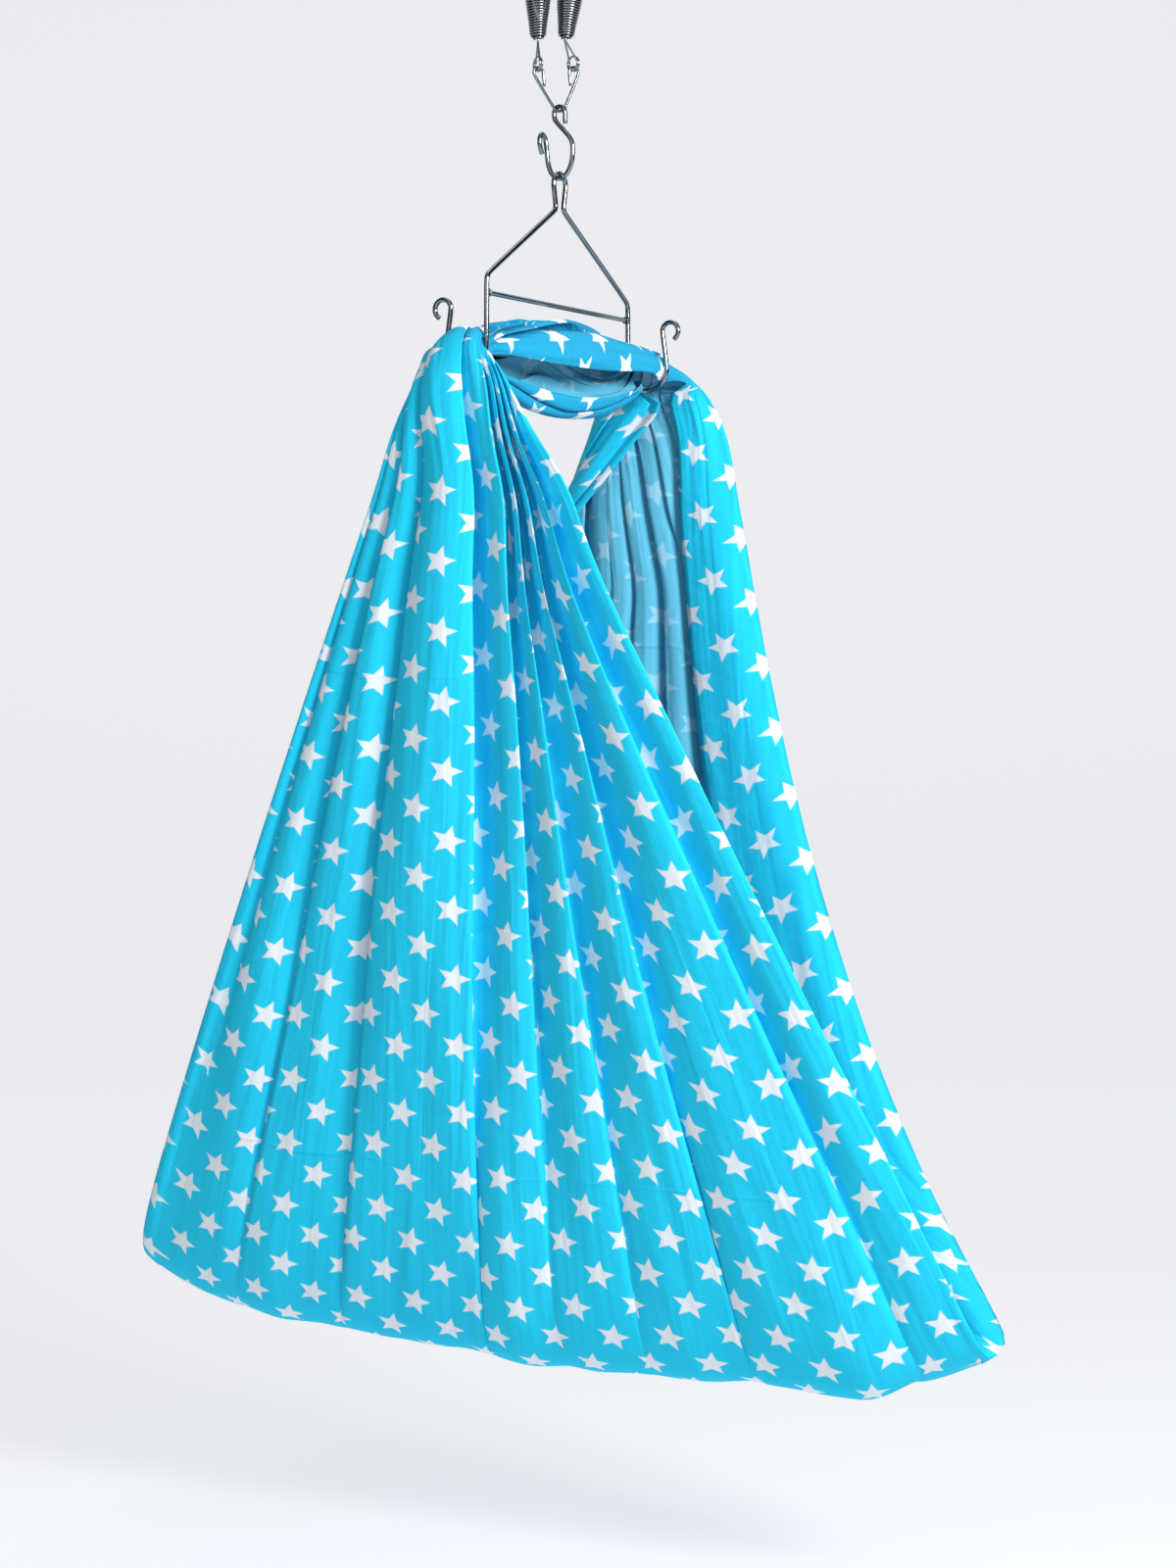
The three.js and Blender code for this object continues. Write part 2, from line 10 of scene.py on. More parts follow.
import bmesh
import bpy
import numpy as np
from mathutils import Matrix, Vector


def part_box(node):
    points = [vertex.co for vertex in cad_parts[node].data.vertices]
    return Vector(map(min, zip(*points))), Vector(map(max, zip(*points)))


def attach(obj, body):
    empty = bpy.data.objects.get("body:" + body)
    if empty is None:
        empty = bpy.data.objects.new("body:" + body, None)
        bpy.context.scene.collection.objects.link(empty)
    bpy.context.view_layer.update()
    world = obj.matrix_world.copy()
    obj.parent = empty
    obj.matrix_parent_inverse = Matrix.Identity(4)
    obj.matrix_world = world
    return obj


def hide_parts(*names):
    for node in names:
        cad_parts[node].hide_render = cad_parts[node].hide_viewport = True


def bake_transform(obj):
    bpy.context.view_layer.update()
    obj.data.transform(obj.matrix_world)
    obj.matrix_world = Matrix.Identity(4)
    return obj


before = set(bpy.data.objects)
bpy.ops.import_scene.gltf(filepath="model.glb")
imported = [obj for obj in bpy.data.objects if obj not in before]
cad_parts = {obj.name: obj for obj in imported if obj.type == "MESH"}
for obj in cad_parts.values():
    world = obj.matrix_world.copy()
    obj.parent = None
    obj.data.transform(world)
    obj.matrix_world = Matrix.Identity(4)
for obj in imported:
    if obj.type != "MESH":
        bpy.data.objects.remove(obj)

LOG = logging.getLogger("cradle")
MICRON = 1e-6
MICRON_DIGITS = 6
TINY = 1e-9
Colour = tuple[float, float, float, float]


def from_screen(red: int, green: int, blue: int) -> Colour:
    """Turns a screen colour into the linear colour that shaders take.

    Args:
        red: Screen value from 0 to 255.
        green: Screen value from 0 to 255.
        blue: Screen value from 0 to 255.

    Returns:
        The same colour in linear light, opaque.
    """

    def linear(value: int) -> float:
        """One channel in linear light."""
        share = value / 255
        return share / 12.92 if share <= 0.04045 else ((share + 0.055) / 1.055) ** 2.4

    return (linear(red), linear(green), linear(blue), 1.0)


def smooth(value: Any, low: Any, high: Any) -> Any:
    """Eases a number or an array from 0 at low to 1 at high."""
    share = np.clip((value - low) / (high - low), 0, 1)
    return share * share * (3 - 2 * share)


class Formula(Enum):
    """The maths that shader values use."""

    ADD = "ADD"
    SUBTRACT = "SUBTRACT"
    MULTIPLY = "MULTIPLY"
    DIVIDE = "DIVIDE"


class Signal:
    """The value of one socket, so that shader maths reads as plain expressions."""

    def __init__(self, board: "Board", socket: bpy.types.NodeSocket) -> None:
        """Keeps the board that the socket is on."""
        self.board = board
        self.socket = socket

    def combine(self, formula: Formula, first: Any, second: Any) -> "Signal":
        """Adds one Math node.

        Args:
            formula: What the node works out.
            first: Its first value or signal.
            second: Its second value or signal.

        Returns:
            The node's result.
        """
        return self.board.maths(formula.value, first, second)

    def __add__(self, other: Any) -> "Signal":
        """This signal plus another."""
        return self.combine(Formula.ADD, self, other)

    def __radd__(self, other: Any) -> "Signal":
        """A number plus this signal."""
        return self.combine(Formula.ADD, other, self)

    def __sub__(self, other: Any) -> "Signal":
        """This signal less another."""
        return self.combine(Formula.SUBTRACT, self, other)

    def __rsub__(self, other: Any) -> "Signal":
        """A number less this signal."""
        return self.combine(Formula.SUBTRACT, other, self)

    def __mul__(self, other: Any) -> "Signal":
        """This signal times another."""
        return self.combine(Formula.MULTIPLY, self, other)

    def __truediv__(self, other: Any) -> "Signal":
        """This signal over another."""
        return self.combine(Formula.DIVIDE, self, other)


class Board:
    """The nodes of one material or world."""

    def __init__(self, owner: bpy.types.Material | bpy.types.World) -> None:
        """Clears the owner's nodes.

        Args:
            owner: The material or world that the nodes are for.
        """
        owner.use_nodes = True
        self.owner = owner
        self.tree = owner.node_tree
        self.tree.nodes.clear()

    @classmethod
    def for_material(cls, name: str) -> "Board":
        """Starts an empty material of that name."""
        return cls(bpy.data.materials.new(name))

    def add(
        self,
        kind: str,
        settings: Mapping[str, Any] | None = None,
        inputs: Mapping[str | int, Any] | None = None,
        output: str | int = 0,
    ) -> Signal:
        """Adds a node of any kind.

        Args:
            kind: The node's type.
            settings: Its options, set first; "stops" are a ramp's places and colours.
            inputs: Values or signals for its sockets.
            output: The socket that the returned signal reads.

        Returns:
            The chosen output.
        """
        node = self.tree.nodes.new(kind)
        for name, value in (settings or {}).items():
            if name == "stops":
                self.set_stops(node.color_ramp, value)
            else:
                setattr(node, name, value)
        for name, value in (inputs or {}).items():
            if isinstance(value, Signal):
                self.tree.links.new(value.socket, node.inputs[name])
            else:
                node.inputs[name].default_value = value
        return Signal(self, node.outputs[output] if node.outputs else node.inputs[0])

    @staticmethod
    def set_stops(ramp: bpy.types.ColorRamp, stops: Sequence[tuple[float, Colour]]) -> None:
        """Gives a ramp its stops.

        Args:
            ramp: The ramp to fill.
            stops: Places from 0 to 1 with their colours.
        """
        while len(ramp.elements) < len(stops):
            ramp.elements.new(1.0)
        for element, (place, colour) in zip(ramp.elements, stops, strict=True):
            element.position = place
            element.color = colour

    def maths(self, operation: str, *values: Any) -> Signal:
        """Adds a Math node.

        Args:
            operation: The node's operation.
            values: Its inputs in order.

        Returns:
            The node's result.
        """
        return self.add("ShaderNodeMath", {"operation": operation}, dict(enumerate(values)))

    def mix(self, share: Any, first: Any, second: Any) -> Signal:
        """Mixes two colours.

        Args:
            share: 0 for the first colour, 1 for the second.
            first: A colour or signal.
            second: A colour or signal.

        Returns:
            The mixed colour.
        """
        inputs = {0: share, 6: first, 7: second}
        return self.add("ShaderNodeMix", {"data_type": "RGBA"}, inputs, output=2)

    def split(self, vector: Signal) -> tuple[Signal, Signal]:
        """The first and the second part of a vector."""
        first = self.add("ShaderNodeSeparateXYZ", None, {"Vector": vector})
        return first, Signal(self, first.socket.node.outputs["Y"])

    def noise(self, place: Signal, scale: float, detail: float = 2.0, distortion: float = 0.0) -> Signal:
        """Adds a noise texture.

        Args:
            place: Where it is read.
            scale: How fine it is.
            detail: How many finer layers it has.
            distortion: How far it is stirred.

        Returns:
            Its values from 0 to 1.
        """
        inputs = {"Vector": place, "Scale": scale, "Detail": detail, "Distortion": distortion}
        return self.add("ShaderNodeTexNoise", None, inputs)

    def fade(
        self,
        value: Signal,
        reach: tuple[float, float],
        result: tuple[float, float] = (0.0, 1.0),
        eased: bool = True,
    ) -> Signal:
        """Goes from one result to another over a reach of values.

        Args:
            value: The value to follow.
            reach: The values where the change starts and ends.
            result: The results before and after it.
            eased: Whether it starts and ends softly.

        Returns:
            The result.
        """
        settings = {"interpolation_type": "SMOOTHSTEP" if eased else "LINEAR"}
        inputs = {"Value": value, "From Min": reach[0], "From Max": reach[1]}
        inputs |= {"To Min": result[0], "To Max": result[1]}
        return self.add("ShaderNodeMapRange", settings, inputs)

    def bump(self, height: Signal, distance: float, strength: float) -> Signal:
        """Shades a height, given in shares of a distance in metres."""
        inputs = {"Height": height, "Distance": distance, "Strength": strength}
        return self.add("ShaderNodeBump", None, inputs)

    def surface(self, inputs: Mapping[str, Any]) -> bpy.types.Material:
        """Ends a material with its surface.

        Args:
            inputs: Values or signals for the surface's sockets.

        Returns:
            The finished material.
        """
        shader = self.add("ShaderNodeBsdfPrincipled", None, inputs)
        self.add("ShaderNodeOutputMaterial", inputs={"Surface": shader})
        return self.owner


@dataclass(frozen=True)
class ChromeFinish:
    """Bright plating on bent wire, faintly streaked along its handling marks."""

    name: str = "bright_plating"
    bright: Colour = (0.35, 0.41, 0.45, 1.0)
    dull: Colour = (0.09, 0.12, 0.14, 1.0)
    roughness: float = 0.09
    mark_roughness: float = 0.12
    mark_scale: float = 120.0
    mark_detail: float = 4.0
    mark_share: float = 1.2
    mark_depth: float = 0.00003
    mark_strength: float = 0.35
    patch_scale: float = 24.0
    patch_share: float = 0.9
    blending: float = 0.2

    def material(self) -> bpy.types.Material:
        """Mixes the plating.

        Returns:
            The plated wire's material.
        """
        board = Board.for_material(self.name)
        place = board.add("ShaderNodeTexCoord", output="Object")
        marks = board.noise(place, self.mark_scale, self.mark_detail)
        patches = board.noise(place, self.patch_scale)
        worn = board.maths("SMOOTH_MIN", patches * self.patch_share, marks * self.mark_share, self.blending)
        inputs = {
            "Base Color": board.mix(worn, self.bright, self.dull),
            "Metallic": 1.0,
            "Roughness": self.roughness + marks * self.mark_roughness,
            "Normal": board.bump(marks, self.mark_depth, self.mark_strength),
        }
        return board.surface(inputs)


@dataclass(frozen=True)
class SpringFinish:
    """Plated spring wire, duller than the hooks and, where it is wound, with shade painted dark between the
    curls.
    """

    outward_map: ClassVar[str] = "outward"
    name: str = "spring_plating"
    wound: bool = True
    bright: Colour = (0.46, 0.51, 0.53, 1.0)
    dull: Colour = (0.15, 0.18, 0.19, 1.0)
    # Painted shade: the near-black colour laid on the wire's inward side, between the spring's curls.
    painted_gap_shade: Colour = (0.012, 0.016, 0.018, 1.0)
    gap_shade_reach: tuple[float, float] = (0.80, 0.93)
    roughness: float = 0.14
    draw_roughness: float = 0.15
    draw_scale: float = 900.0
    draw_detail: float = 3.0
    draw_depth: float = 0.00002
    draw_strength: float = 0.4
    patch_scale: float = 45.0

    def material(self) -> bpy.types.Material:
        """Mixes the plating.

        Returns:
            The spring wire's material.
        """
        board = Board.for_material(self.name)
        place = board.add("ShaderNodeTexCoord", output="Object")
        drawn = board.noise(place, self.draw_scale, self.draw_detail)
        colour = board.mix(board.noise(place, self.patch_scale), self.bright, self.dull)
        # Painted shade: the wire darkens where it faces into the spring, as if shaded by the neighbouring
        # curls.
        if self.wound:
            outward, _ = board.split(board.add("ShaderNodeUVMap", {"uv_map": self.outward_map}))
            colour = board.mix(board.fade(outward, self.gap_shade_reach), self.painted_gap_shade, colour)
        inputs = {
            "Base Color": colour,
            "Metallic": 1.0,
            "Roughness": self.roughness + drawn * self.draw_roughness,
            "Normal": board.bump(drawn, self.draw_depth, self.draw_strength),
        }
        return board.surface(inputs)


@dataclass(frozen=True)
class StarPrint:
    """A repeat of five-pointed stars in metres on the flat cloth.

    The stars lie on a square net, each a knight's move from the next, and the net is turned on the cloth.
    """

    grid: float = 0.0254
    move: int = 2
    turn: float = math.radians(13)
    radius: float = 0.0182
    rays: int = 5
    waist: float = 0.45
    slimness: float = 1.14
    edge: float = 0.0008

    def depth(self, board: Board, across: Signal, upward: Signal) -> Signal:
        """How far a place lies inside the outline of the star round it.

        Args:
            board: The material's board.
            across: Place right of the star's middle in metres.
            upward: Place above the star's middle in metres.

        Returns:
            A signed depth in shares of the star's radius, positive inside.
        """
        part = math.tau / self.rays
        angle = board.maths("ARCTAN2", across, upward)
        folded = board.maths("PINGPONG", angle + math.tau, part / 2)
        reach = board.maths("SQRT", across * across + upward * upward) / self.radius
        waist_along = self.waist * math.cos(part / 2)
        waist_off = self.waist * math.sin(part / 2)
        length = math.hypot(1 - waist_along, waist_off)
        along_ray = reach * board.maths("COSINE", folded)
        off_ray = reach * board.maths("SINE", folded)
        return ((1 - along_ray) * waist_off - off_ray * (1 - waist_along)) / length

    def mask(self, board: Board, across: Signal, along: Signal) -> Signal:
        """1 on the printed stars and 0 on the ground, with a slightly soft edge.

        Args:
            board: The material's board.
            across: Place across the cloth in metres.
            along: Place along the cloth in metres.

        Returns:
            The print's mask.
        """
        level, tilt = math.cos(self.turn), math.sin(self.turn)
        right = across * level - along * tilt
        upward = across * tilt + along * level
        cell = self.grid * (self.move**2 + 1)
        first = board.maths("FRACT", (right * self.move - upward) / cell) - 0.5
        second = board.maths("FRACT", (right + upward * self.move) / cell) - 0.5
        near_right = (first * self.move + second) * (self.grid / self.slimness)
        near_upward = (second * self.move - first) * self.grid
        soft = self.edge / self.radius
        return board.fade(self.depth(board, near_right, near_upward), (-soft, soft))


class ClothSide(Enum):
    """The two faces of the cloth."""

    PRINTED = "printed"
    REVERSE = "reverse"


@dataclass(frozen=True)
class Creases:
    """Faint sharp lines where the cloth lay folded in its packing, patchy and slightly wandering."""

    step: float = 0.29
    line_width: float = 0.004
    wander_scale: float = 7.0
    wander_detail: float = 1.0
    wander_along: float = 0.02
    wander_across: float = 0.012
    patch_scale: float = 3.1
    patch_reach: tuple[float, float] = (0.47, 0.62)
    second_share: float = 0.6

    def height(self, board: Board, across: Signal, along: Signal) -> Signal:
        """The ridges' height.

        Args:
            board: The material's board.
            across: Place across the cloth in metres.
            along: Place along the cloth in metres.

        Returns:
            Heights from 0 to 1.
        """
        place = board.add("ShaderNodeCombineXYZ", None, {"X": across, "Y": along})
        wander = board.noise(place, self.wander_scale, self.wander_detail)
        shown = board.fade(board.noise(place, self.patch_scale), self.patch_reach, eased=False)
        lines = []
        for run in (along + wander * self.wander_along, across + wander * self.wander_across):
            offset = board.maths("PINGPONG", run, self.step / 2)
            lines.append(board.fade(offset, (0.0, self.line_width), (1.0, 0.0)))
        return board.maths("MAXIMUM", lines[0], lines[1] * self.second_share) * shown


@dataclass(frozen=True)
class CottonFinish:
    """Plain-weave cotton with stars on its printed face, showing faintly through on the reverse.

    The relief's heights are in shares of relief_depth, which is in metres.
    """

    side: ClothSide
    pattern: StarPrint = field(default_factory=StarPrint)
    folding: Creases = field(default_factory=Creases)
    ground: Colour = from_screen(0, 208, 241)
    ground_deep: Colour = from_screen(0, 192, 233)
    # Painted shade: a darker blue for the gathered roll over the hanger, standing in for the shade among its
    # creases.
    band_shade_colour: Colour = from_screen(0, 152, 196)
    star: Colour = from_screen(228, 236, 243)
    reverse_ground: Colour = from_screen(92, 186, 217)
    reverse_star: Colour = from_screen(170, 216, 235)
    show_through: float = 0.35
    show_through_uneven: float = 0.5
    tint_scale: float = 5.0
    tint_detail: float = 3.0
    slub_scale: float = 420.0
    slub_tint: float = 0.04
    slub_roughness: float = 0.1
    band_place: float = 1.47
    band_shade_reach: tuple[float, float] = (0.17, 0.28)
    band_shade_share: float = 0.95
    gathered_reach: tuple[float, float] = (0.22, 0.50)
    roughness: float = 0.82
    sheen: float = 0.02
    sheen_roughness: float = 0.5
    specular: float = 0.12
    relief_depth: float = 0.0009
    relief_strength: float = 0.8
    thread: float = 0.0009
    weave_height: float = 0.06
    crease_height: float = 1.6
    crumple_scale: float = 19.0
    crumple_detail: float = 3.0
    crumple_height: float = 4.0
    pleat_rate: float = 34.0
    pleat_run: float = 2.6
    pleat_detail: float = 2.5
    pleat_stir: float = 0.4
    pleat_height: float = 8.0
    gathered_pleats: float = 16.0

    def colour(self, board: Board, flat: Signal, from_band: Signal, slubs: Signal) -> Signal:
        """The print or the reverse.

        Args:
            board: The material's board.
            flat: Place on the flat cloth in metres.
            from_band: Distance along the cloth from the middle of the roll.
            slubs: The yarn's thick places.

        Returns:
            The colour.
        """
        across, along = board.split(flat)
        stars = self.pattern.mask(board, across, along)
        tint = board.noise(flat, self.tint_scale, self.tint_detail)
        if self.side is ClothSide.PRINTED:
            ground = board.mix(tint, self.ground, self.ground_deep)
            # Painted shade: the print's ground darkens towards the middle of the roll, as if the gathered
            # cloth lay in shade.
            band_shade_mask = board.fade(from_band, self.band_shade_reach, (self.band_shade_share, 0.0))
            dyed = board.mix(stars, board.mix(band_shade_mask, ground, self.band_shade_colour), self.star)
        else:
            shown = stars * (self.show_through + tint * self.show_through_uneven)
            dyed = board.mix(shown, self.reverse_ground, self.reverse_star)
        return board.mix(slubs * self.slub_tint, dyed, self.star)

    def relief(self, board: Board, flat: Signal, from_band: Signal, slubs: Signal) -> Signal:
        """The weave, the packing's creases, the crumples and the fine pleats, which deepen towards the roll.

        Args:
            board: The material's board.
            flat: Place on the flat cloth in metres.
            from_band: Distance along the cloth from the middle of the roll.
            slubs: The yarn's thick places.

        Returns:
            Heights in shares of the relief's depth.
        """
        across, along = board.split(flat)
        warp = board.maths("SINE", across * (math.tau / self.thread))
        weft = board.maths("SINE", along * (math.tau / self.thread))
        crumple = board.noise(flat, self.crumple_scale, self.crumple_detail)
        inputs = {"X": across * self.pleat_rate, "Y": along * self.pleat_run}
        stretched = board.add("ShaderNodeCombineXYZ", None, inputs)
        pleats = board.noise(stretched, 1.0, self.pleat_detail, self.pleat_stir)
        gathered = board.fade(from_band, self.gathered_reach, (1.0, 0.0))
        height = (warp * weft + slubs) * self.weave_height
        height = height + self.folding.height(board, across, along) * self.crease_height
        height = height + crumple * self.crumple_height
        return height + pleats * (self.pleat_height + gathered * self.gathered_pleats)

    def material(self) -> bpy.types.Material:
        """Weaves and prints the cotton.

        Returns:
            The material of the cloth's side.
        """
        board = Board.for_material(f"cotton_{self.side.value}")
        flat = board.add("ShaderNodeUVMap", {"uv_map": Sling.flat_map})
        _, along = board.split(flat)
        from_band = board.maths("ABSOLUTE", along - self.band_place)
        slubs = board.noise(flat, self.slub_scale)
        relief = self.relief(board, flat, from_band, slubs)
        inputs = {
            "Base Color": self.colour(board, flat, from_band, slubs),
            "Roughness": self.roughness + slubs * self.slub_roughness,
            "Sheen Weight": self.sheen,
            "Sheen Roughness": self.sheen_roughness,
            "Specular IOR Level": self.specular,
            "Normal": board.bump(relief, self.relief_depth, self.relief_strength),
        }
        return board.surface(inputs)


@dataclass(frozen=True)
class BackdropFinish:
    """The plain pale studio sweep."""

    name: str = "pale_sweep"
    colour: Colour = from_screen(150, 151, 153)
    glow: Colour = from_screen(209, 210, 213)
    roughness: float = 0.9
    specular: float = 0.1

    def material(self) -> bpy.types.Material:
        """Mixes the sweep's paint.

        Returns:
            The sweep's material.
        """
        inputs = {"Base Color": self.colour, "Roughness": self.roughness, "Specular IOR Level": self.specular}
        inputs |= {"Emission Color": self.glow, "Emission Strength": 1.0}
        return Board.for_material(self.name).surface(inputs)


def mesh_object(name: str, points: np.ndarray, faces: Sequence[Sequence[int]]) -> bpy.types.Object:
    """Makes a smooth-shaded mesh object.

    Args:
        name: The piece's name.
        points: Its points in metres.
        faces: The point numbers of each face.

    Returns:
        The new object, linked to the scene.
    """
    mesh = bpy.data.meshes.new(name)
    mesh.from_pydata(points.tolist(), [], [list(face) for face in faces])
    mesh.update()
    mesh.shade_smooth()
    made = bpy.data.objects.new(name, mesh)
    bpy.context.scene.collection.objects.link(made)
    return made


@dataclass
class WireWork:
    """The bent wires of one body, rebuilt round and smooth over their solids."""

    body: str
    nodes: tuple[str, ...]
    finish: bpy.types.Material
    slot: str
    wire_sides: int = 8
    wire_radius: float = 0.003
    swing_room: float = 0.0
    weld_distance: float = 0.00002
    flat_angle: float = math.radians(40)
    skewed_angle: float = math.radians(60)
    sharp_angle: float = math.radians(65)
    end_crease: float = 0.75
    levels: int = 2

    def swell(self) -> float:
        """How far the points move out, so that the smoothed wire keeps its thickness, less its room to swing.

        Returns:
            The distance in metres.
        """
        kept = 2 / 3 + math.cos(math.tau / self.wire_sides) / 3
        return self.wire_radius * (1 / kept - 1) - self.swing_room

    def build(self) -> list[bpy.types.Object]:
        """Makes the smooth wires.

        Returns:
            One piece for each node.
        """
        made = []
        for node in self.nodes:
            smooth_wire = self.rebuilt(node)
            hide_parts(node)
            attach(smooth_wire, self.body)
            LOG.info("%s: %d faces before smoothing", smooth_wire.name, len(smooth_wire.data.polygons))
            made.append(smooth_wire)
        return made

    def rebuilt(self, node: str) -> bpy.types.Object:
        """Copies a wire's solid as four-sided faces that smooth into a round wire.

        Args:
            node: The wire's node.

        Returns:
            The new piece.
        """
        work = bmesh.new()
        work.from_mesh(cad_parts[node].data)
        bmesh.ops.remove_doubles(work, verts=work.verts, dist=self.weld_distance)
        limits = {"angle_face_threshold": self.flat_angle, "angle_shape_threshold": self.skewed_angle}
        bmesh.ops.join_triangles(work, faces=work.faces, cmp_seam=False, **limits)
        work.normal_update()
        crease = work.edges.layers.float.new("crease_edge")
        for edge in work.edges:
            if edge.calc_face_angle(0.0) > self.sharp_angle:
                edge[crease] = self.end_crease
        out = self.swell()
        moves = [(vert, vert.co + vert.normal * out) for vert in work.verts]
        for vert, place in moves:
            vert.co = place
        made = mesh_object(f"{node}_smooth", np.zeros((0, 3)), [])
        work.to_mesh(made.data)
        work.free()
        made.data.shade_smooth()
        made.data.materials.append(self.finish)
        rounding = made.modifiers.new("rounding", "SUBSURF")
        rounding.levels = rounding.render_levels = self.levels
        return made


@dataclass
class BarrelSpring:
    """One close-wound barrel spring that stretches between its upper and lower eyes."""

    node: str
    finish: bpy.types.Material
    upper_body: str = "springs"
    lower_body: str = "lower_eyes"
    slot: str = "spring_steel"
    curls: int = 36
    steps: int = 20
    sides: int = 10
    wire: float = 0.0026
    end_radius: float = 0.0044
    neck_radius: float = 0.0086
    belly_radius: float = 0.014
    cone_curls: float = 2.0
    end_trim: float = 0.00125
    slice_share: float = 0.12
    slice_middle: float = 0.75

    def ends(self) -> tuple[np.ndarray, np.ndarray]:
        """The axis ends, worked out from the solid's top and bottom slices.

        Returns:
            The lower and the upper end.
        """
        low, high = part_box(self.node)
        verts = np.array([v.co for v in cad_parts[self.node].data.vertices])
        slice_height = (high.z - low.z) * self.slice_share
        found = []
        for level, towards in ((low.z, 1), (high.z, -1)):
            near = verts[(verts[:, 2] - level) * towards < slice_height]
            far = near[(near[:, 2] - level) * towards > slice_height / 2]
            middle = level + towards * slice_height * self.slice_middle
            found.append(((far.min(0) + far.max(0)) / 2, middle))
        (lower, lower_level), (upper, upper_level) = found
        slope = (upper[:2] - lower[:2]) / (upper_level - lower_level)
        start = lower[:2] + slope * (low.z - lower_level)
        end = upper[:2] + slope * (high.z - upper_level)
        return np.array([*start, low.z]), np.array([*end, high.z])

    def radius(self, share: np.ndarray) -> np.ndarray:
        """The centre line's radius.

        Args:
            share: Shares of the spring's length.

        Returns:
            The radius at each.
        """
        to_end = np.minimum(share, 1 - share)
        cone = np.clip(to_end * self.curls / self.cone_curls, 0, 1)
        neck = self.end_radius + (self.neck_radius - self.end_radius) * np.sin(cone * math.pi / 2)
        return neck + (self.belly_radius - self.neck_radius) * smooth(to_end, 0, 0.5)

    def wound(self, lower: np.ndarray, upper: np.ndarray) -> np.ndarray:
        """Winds the wire.

        Args:
            lower: The axis' lower end.
            upper: Its upper end.

        Returns:
            The wire's points, ring after ring.
        """
        axis = upper - lower
        length = float(np.linalg.norm(axis))
        axis = axis / length
        side = np.cross(axis, [0.0, 1.0, 0.0])
        side /= np.linalg.norm(side)
        other = np.cross(axis, side)
        share = np.linspace(0, 1, self.curls * self.steps + 1)
        angle = math.tau * self.curls * share
        rise = self.end_trim + (length - 2 * self.end_trim) * share
        ring = np.cos(angle)[:, None] * side + np.sin(angle)[:, None] * other
        line = lower + ring * self.radius(share)[:, None] + rise[:, None] * axis
        tangent = np.gradient(line, axis=0)
        tangent /= np.linalg.norm(tangent, axis=1)[:, None]
        outward = ring - (ring * tangent).sum(1)[:, None] * tangent
        outward /= np.linalg.norm(outward, axis=1)[:, None]
        upward = np.cross(outward, tangent)
        around = self.around()[None, :, None]
        offsets = np.cos(around) * outward[:, None, :] + np.sin(around) * upward[:, None, :]
        return (line[:, None, :] + offsets * (self.wire / 2)).reshape(-1, 3)

    def around(self) -> np.ndarray:
        """The angles of the wire's points round its own middle."""
        return np.linspace(0, math.tau, self.sides, endpoint=False)

    def skin(self) -> list[tuple[int, ...]]:
        """The faces between the rings, with a cap on both ends.

        Returns:
            The point numbers of each face.
        """
        rings = self.curls * self.steps
        faces = []
        for first in range(0, rings * self.sides, self.sides):
            for number in range(self.sides):
                a = first + number
                b = first + (number + 1) % self.sides
                faces.append((a, b, b + self.sides, a + self.sides))
        faces.append(tuple(range(self.sides)))
        faces.append(tuple(reversed(range(rings * self.sides, (rings + 1) * self.sides))))
        return faces

    def map_outward(self, mesh: bpy.types.Mesh) -> None:
        """Writes how far each place on the wire faces out of the spring, for its finish to paint shade into
        the gaps between the curls.

        Args:
            mesh: The spring's mesh.
        """
        facing = mesh.uv_layers.new(name=SpringFinish.outward_map)
        turn = np.array([corner.vertex_index % self.sides for corner in mesh.loops])
        flat = np.stack([0.5 + 0.5 * np.cos(self.around()[turn]), turn / self.sides], 1)
        facing.data.foreach_set("uv", flat.reshape(-1).astype(np.float32))

    def build(self) -> bpy.types.Object:
        """Makes the spring between the ends of its solid.

        Returns:
            The spring.
        """
        lower, upper = self.ends()
        made = mesh_object(f"{self.node}_wound", self.wound(lower, upper), self.skin())
        self.map_outward(made.data)
        work = bmesh.new()
        work.from_mesh(made.data)
        bmesh.ops.recalc_face_normals(work, faces=work.faces)
        work.to_mesh(made.data)
        work.free()
        made.data.materials.append(self.finish)
        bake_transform(made)
        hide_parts(self.node)
        LOG.info("%s: %d curls over %.1f mm", made.name, self.curls, np.linalg.norm(upper - lower) * 1000)
        return made


class Face(Enum):
    """Which way a fold tucks: under the cloth on its left, or on its right."""

    UNDER_LEFT = 1
    UNDER_RIGHT = -1


@dataclass(frozen=True)
class Fold:
    """One fold line of the sling, at a place across the cloth from -1 to 1."""

    place: float
    strength: float
    tuck: Face = Face.UNDER_LEFT
    far_place: float = 0.0


@dataclass(frozen=True)
class Section:
    """The gathered cloth cut across at one place on its way over the hanger."""

    centre: tuple[float, float, float]
    lean: float
    half_width: float
    half_depth: float
    turning: float
    twist: float


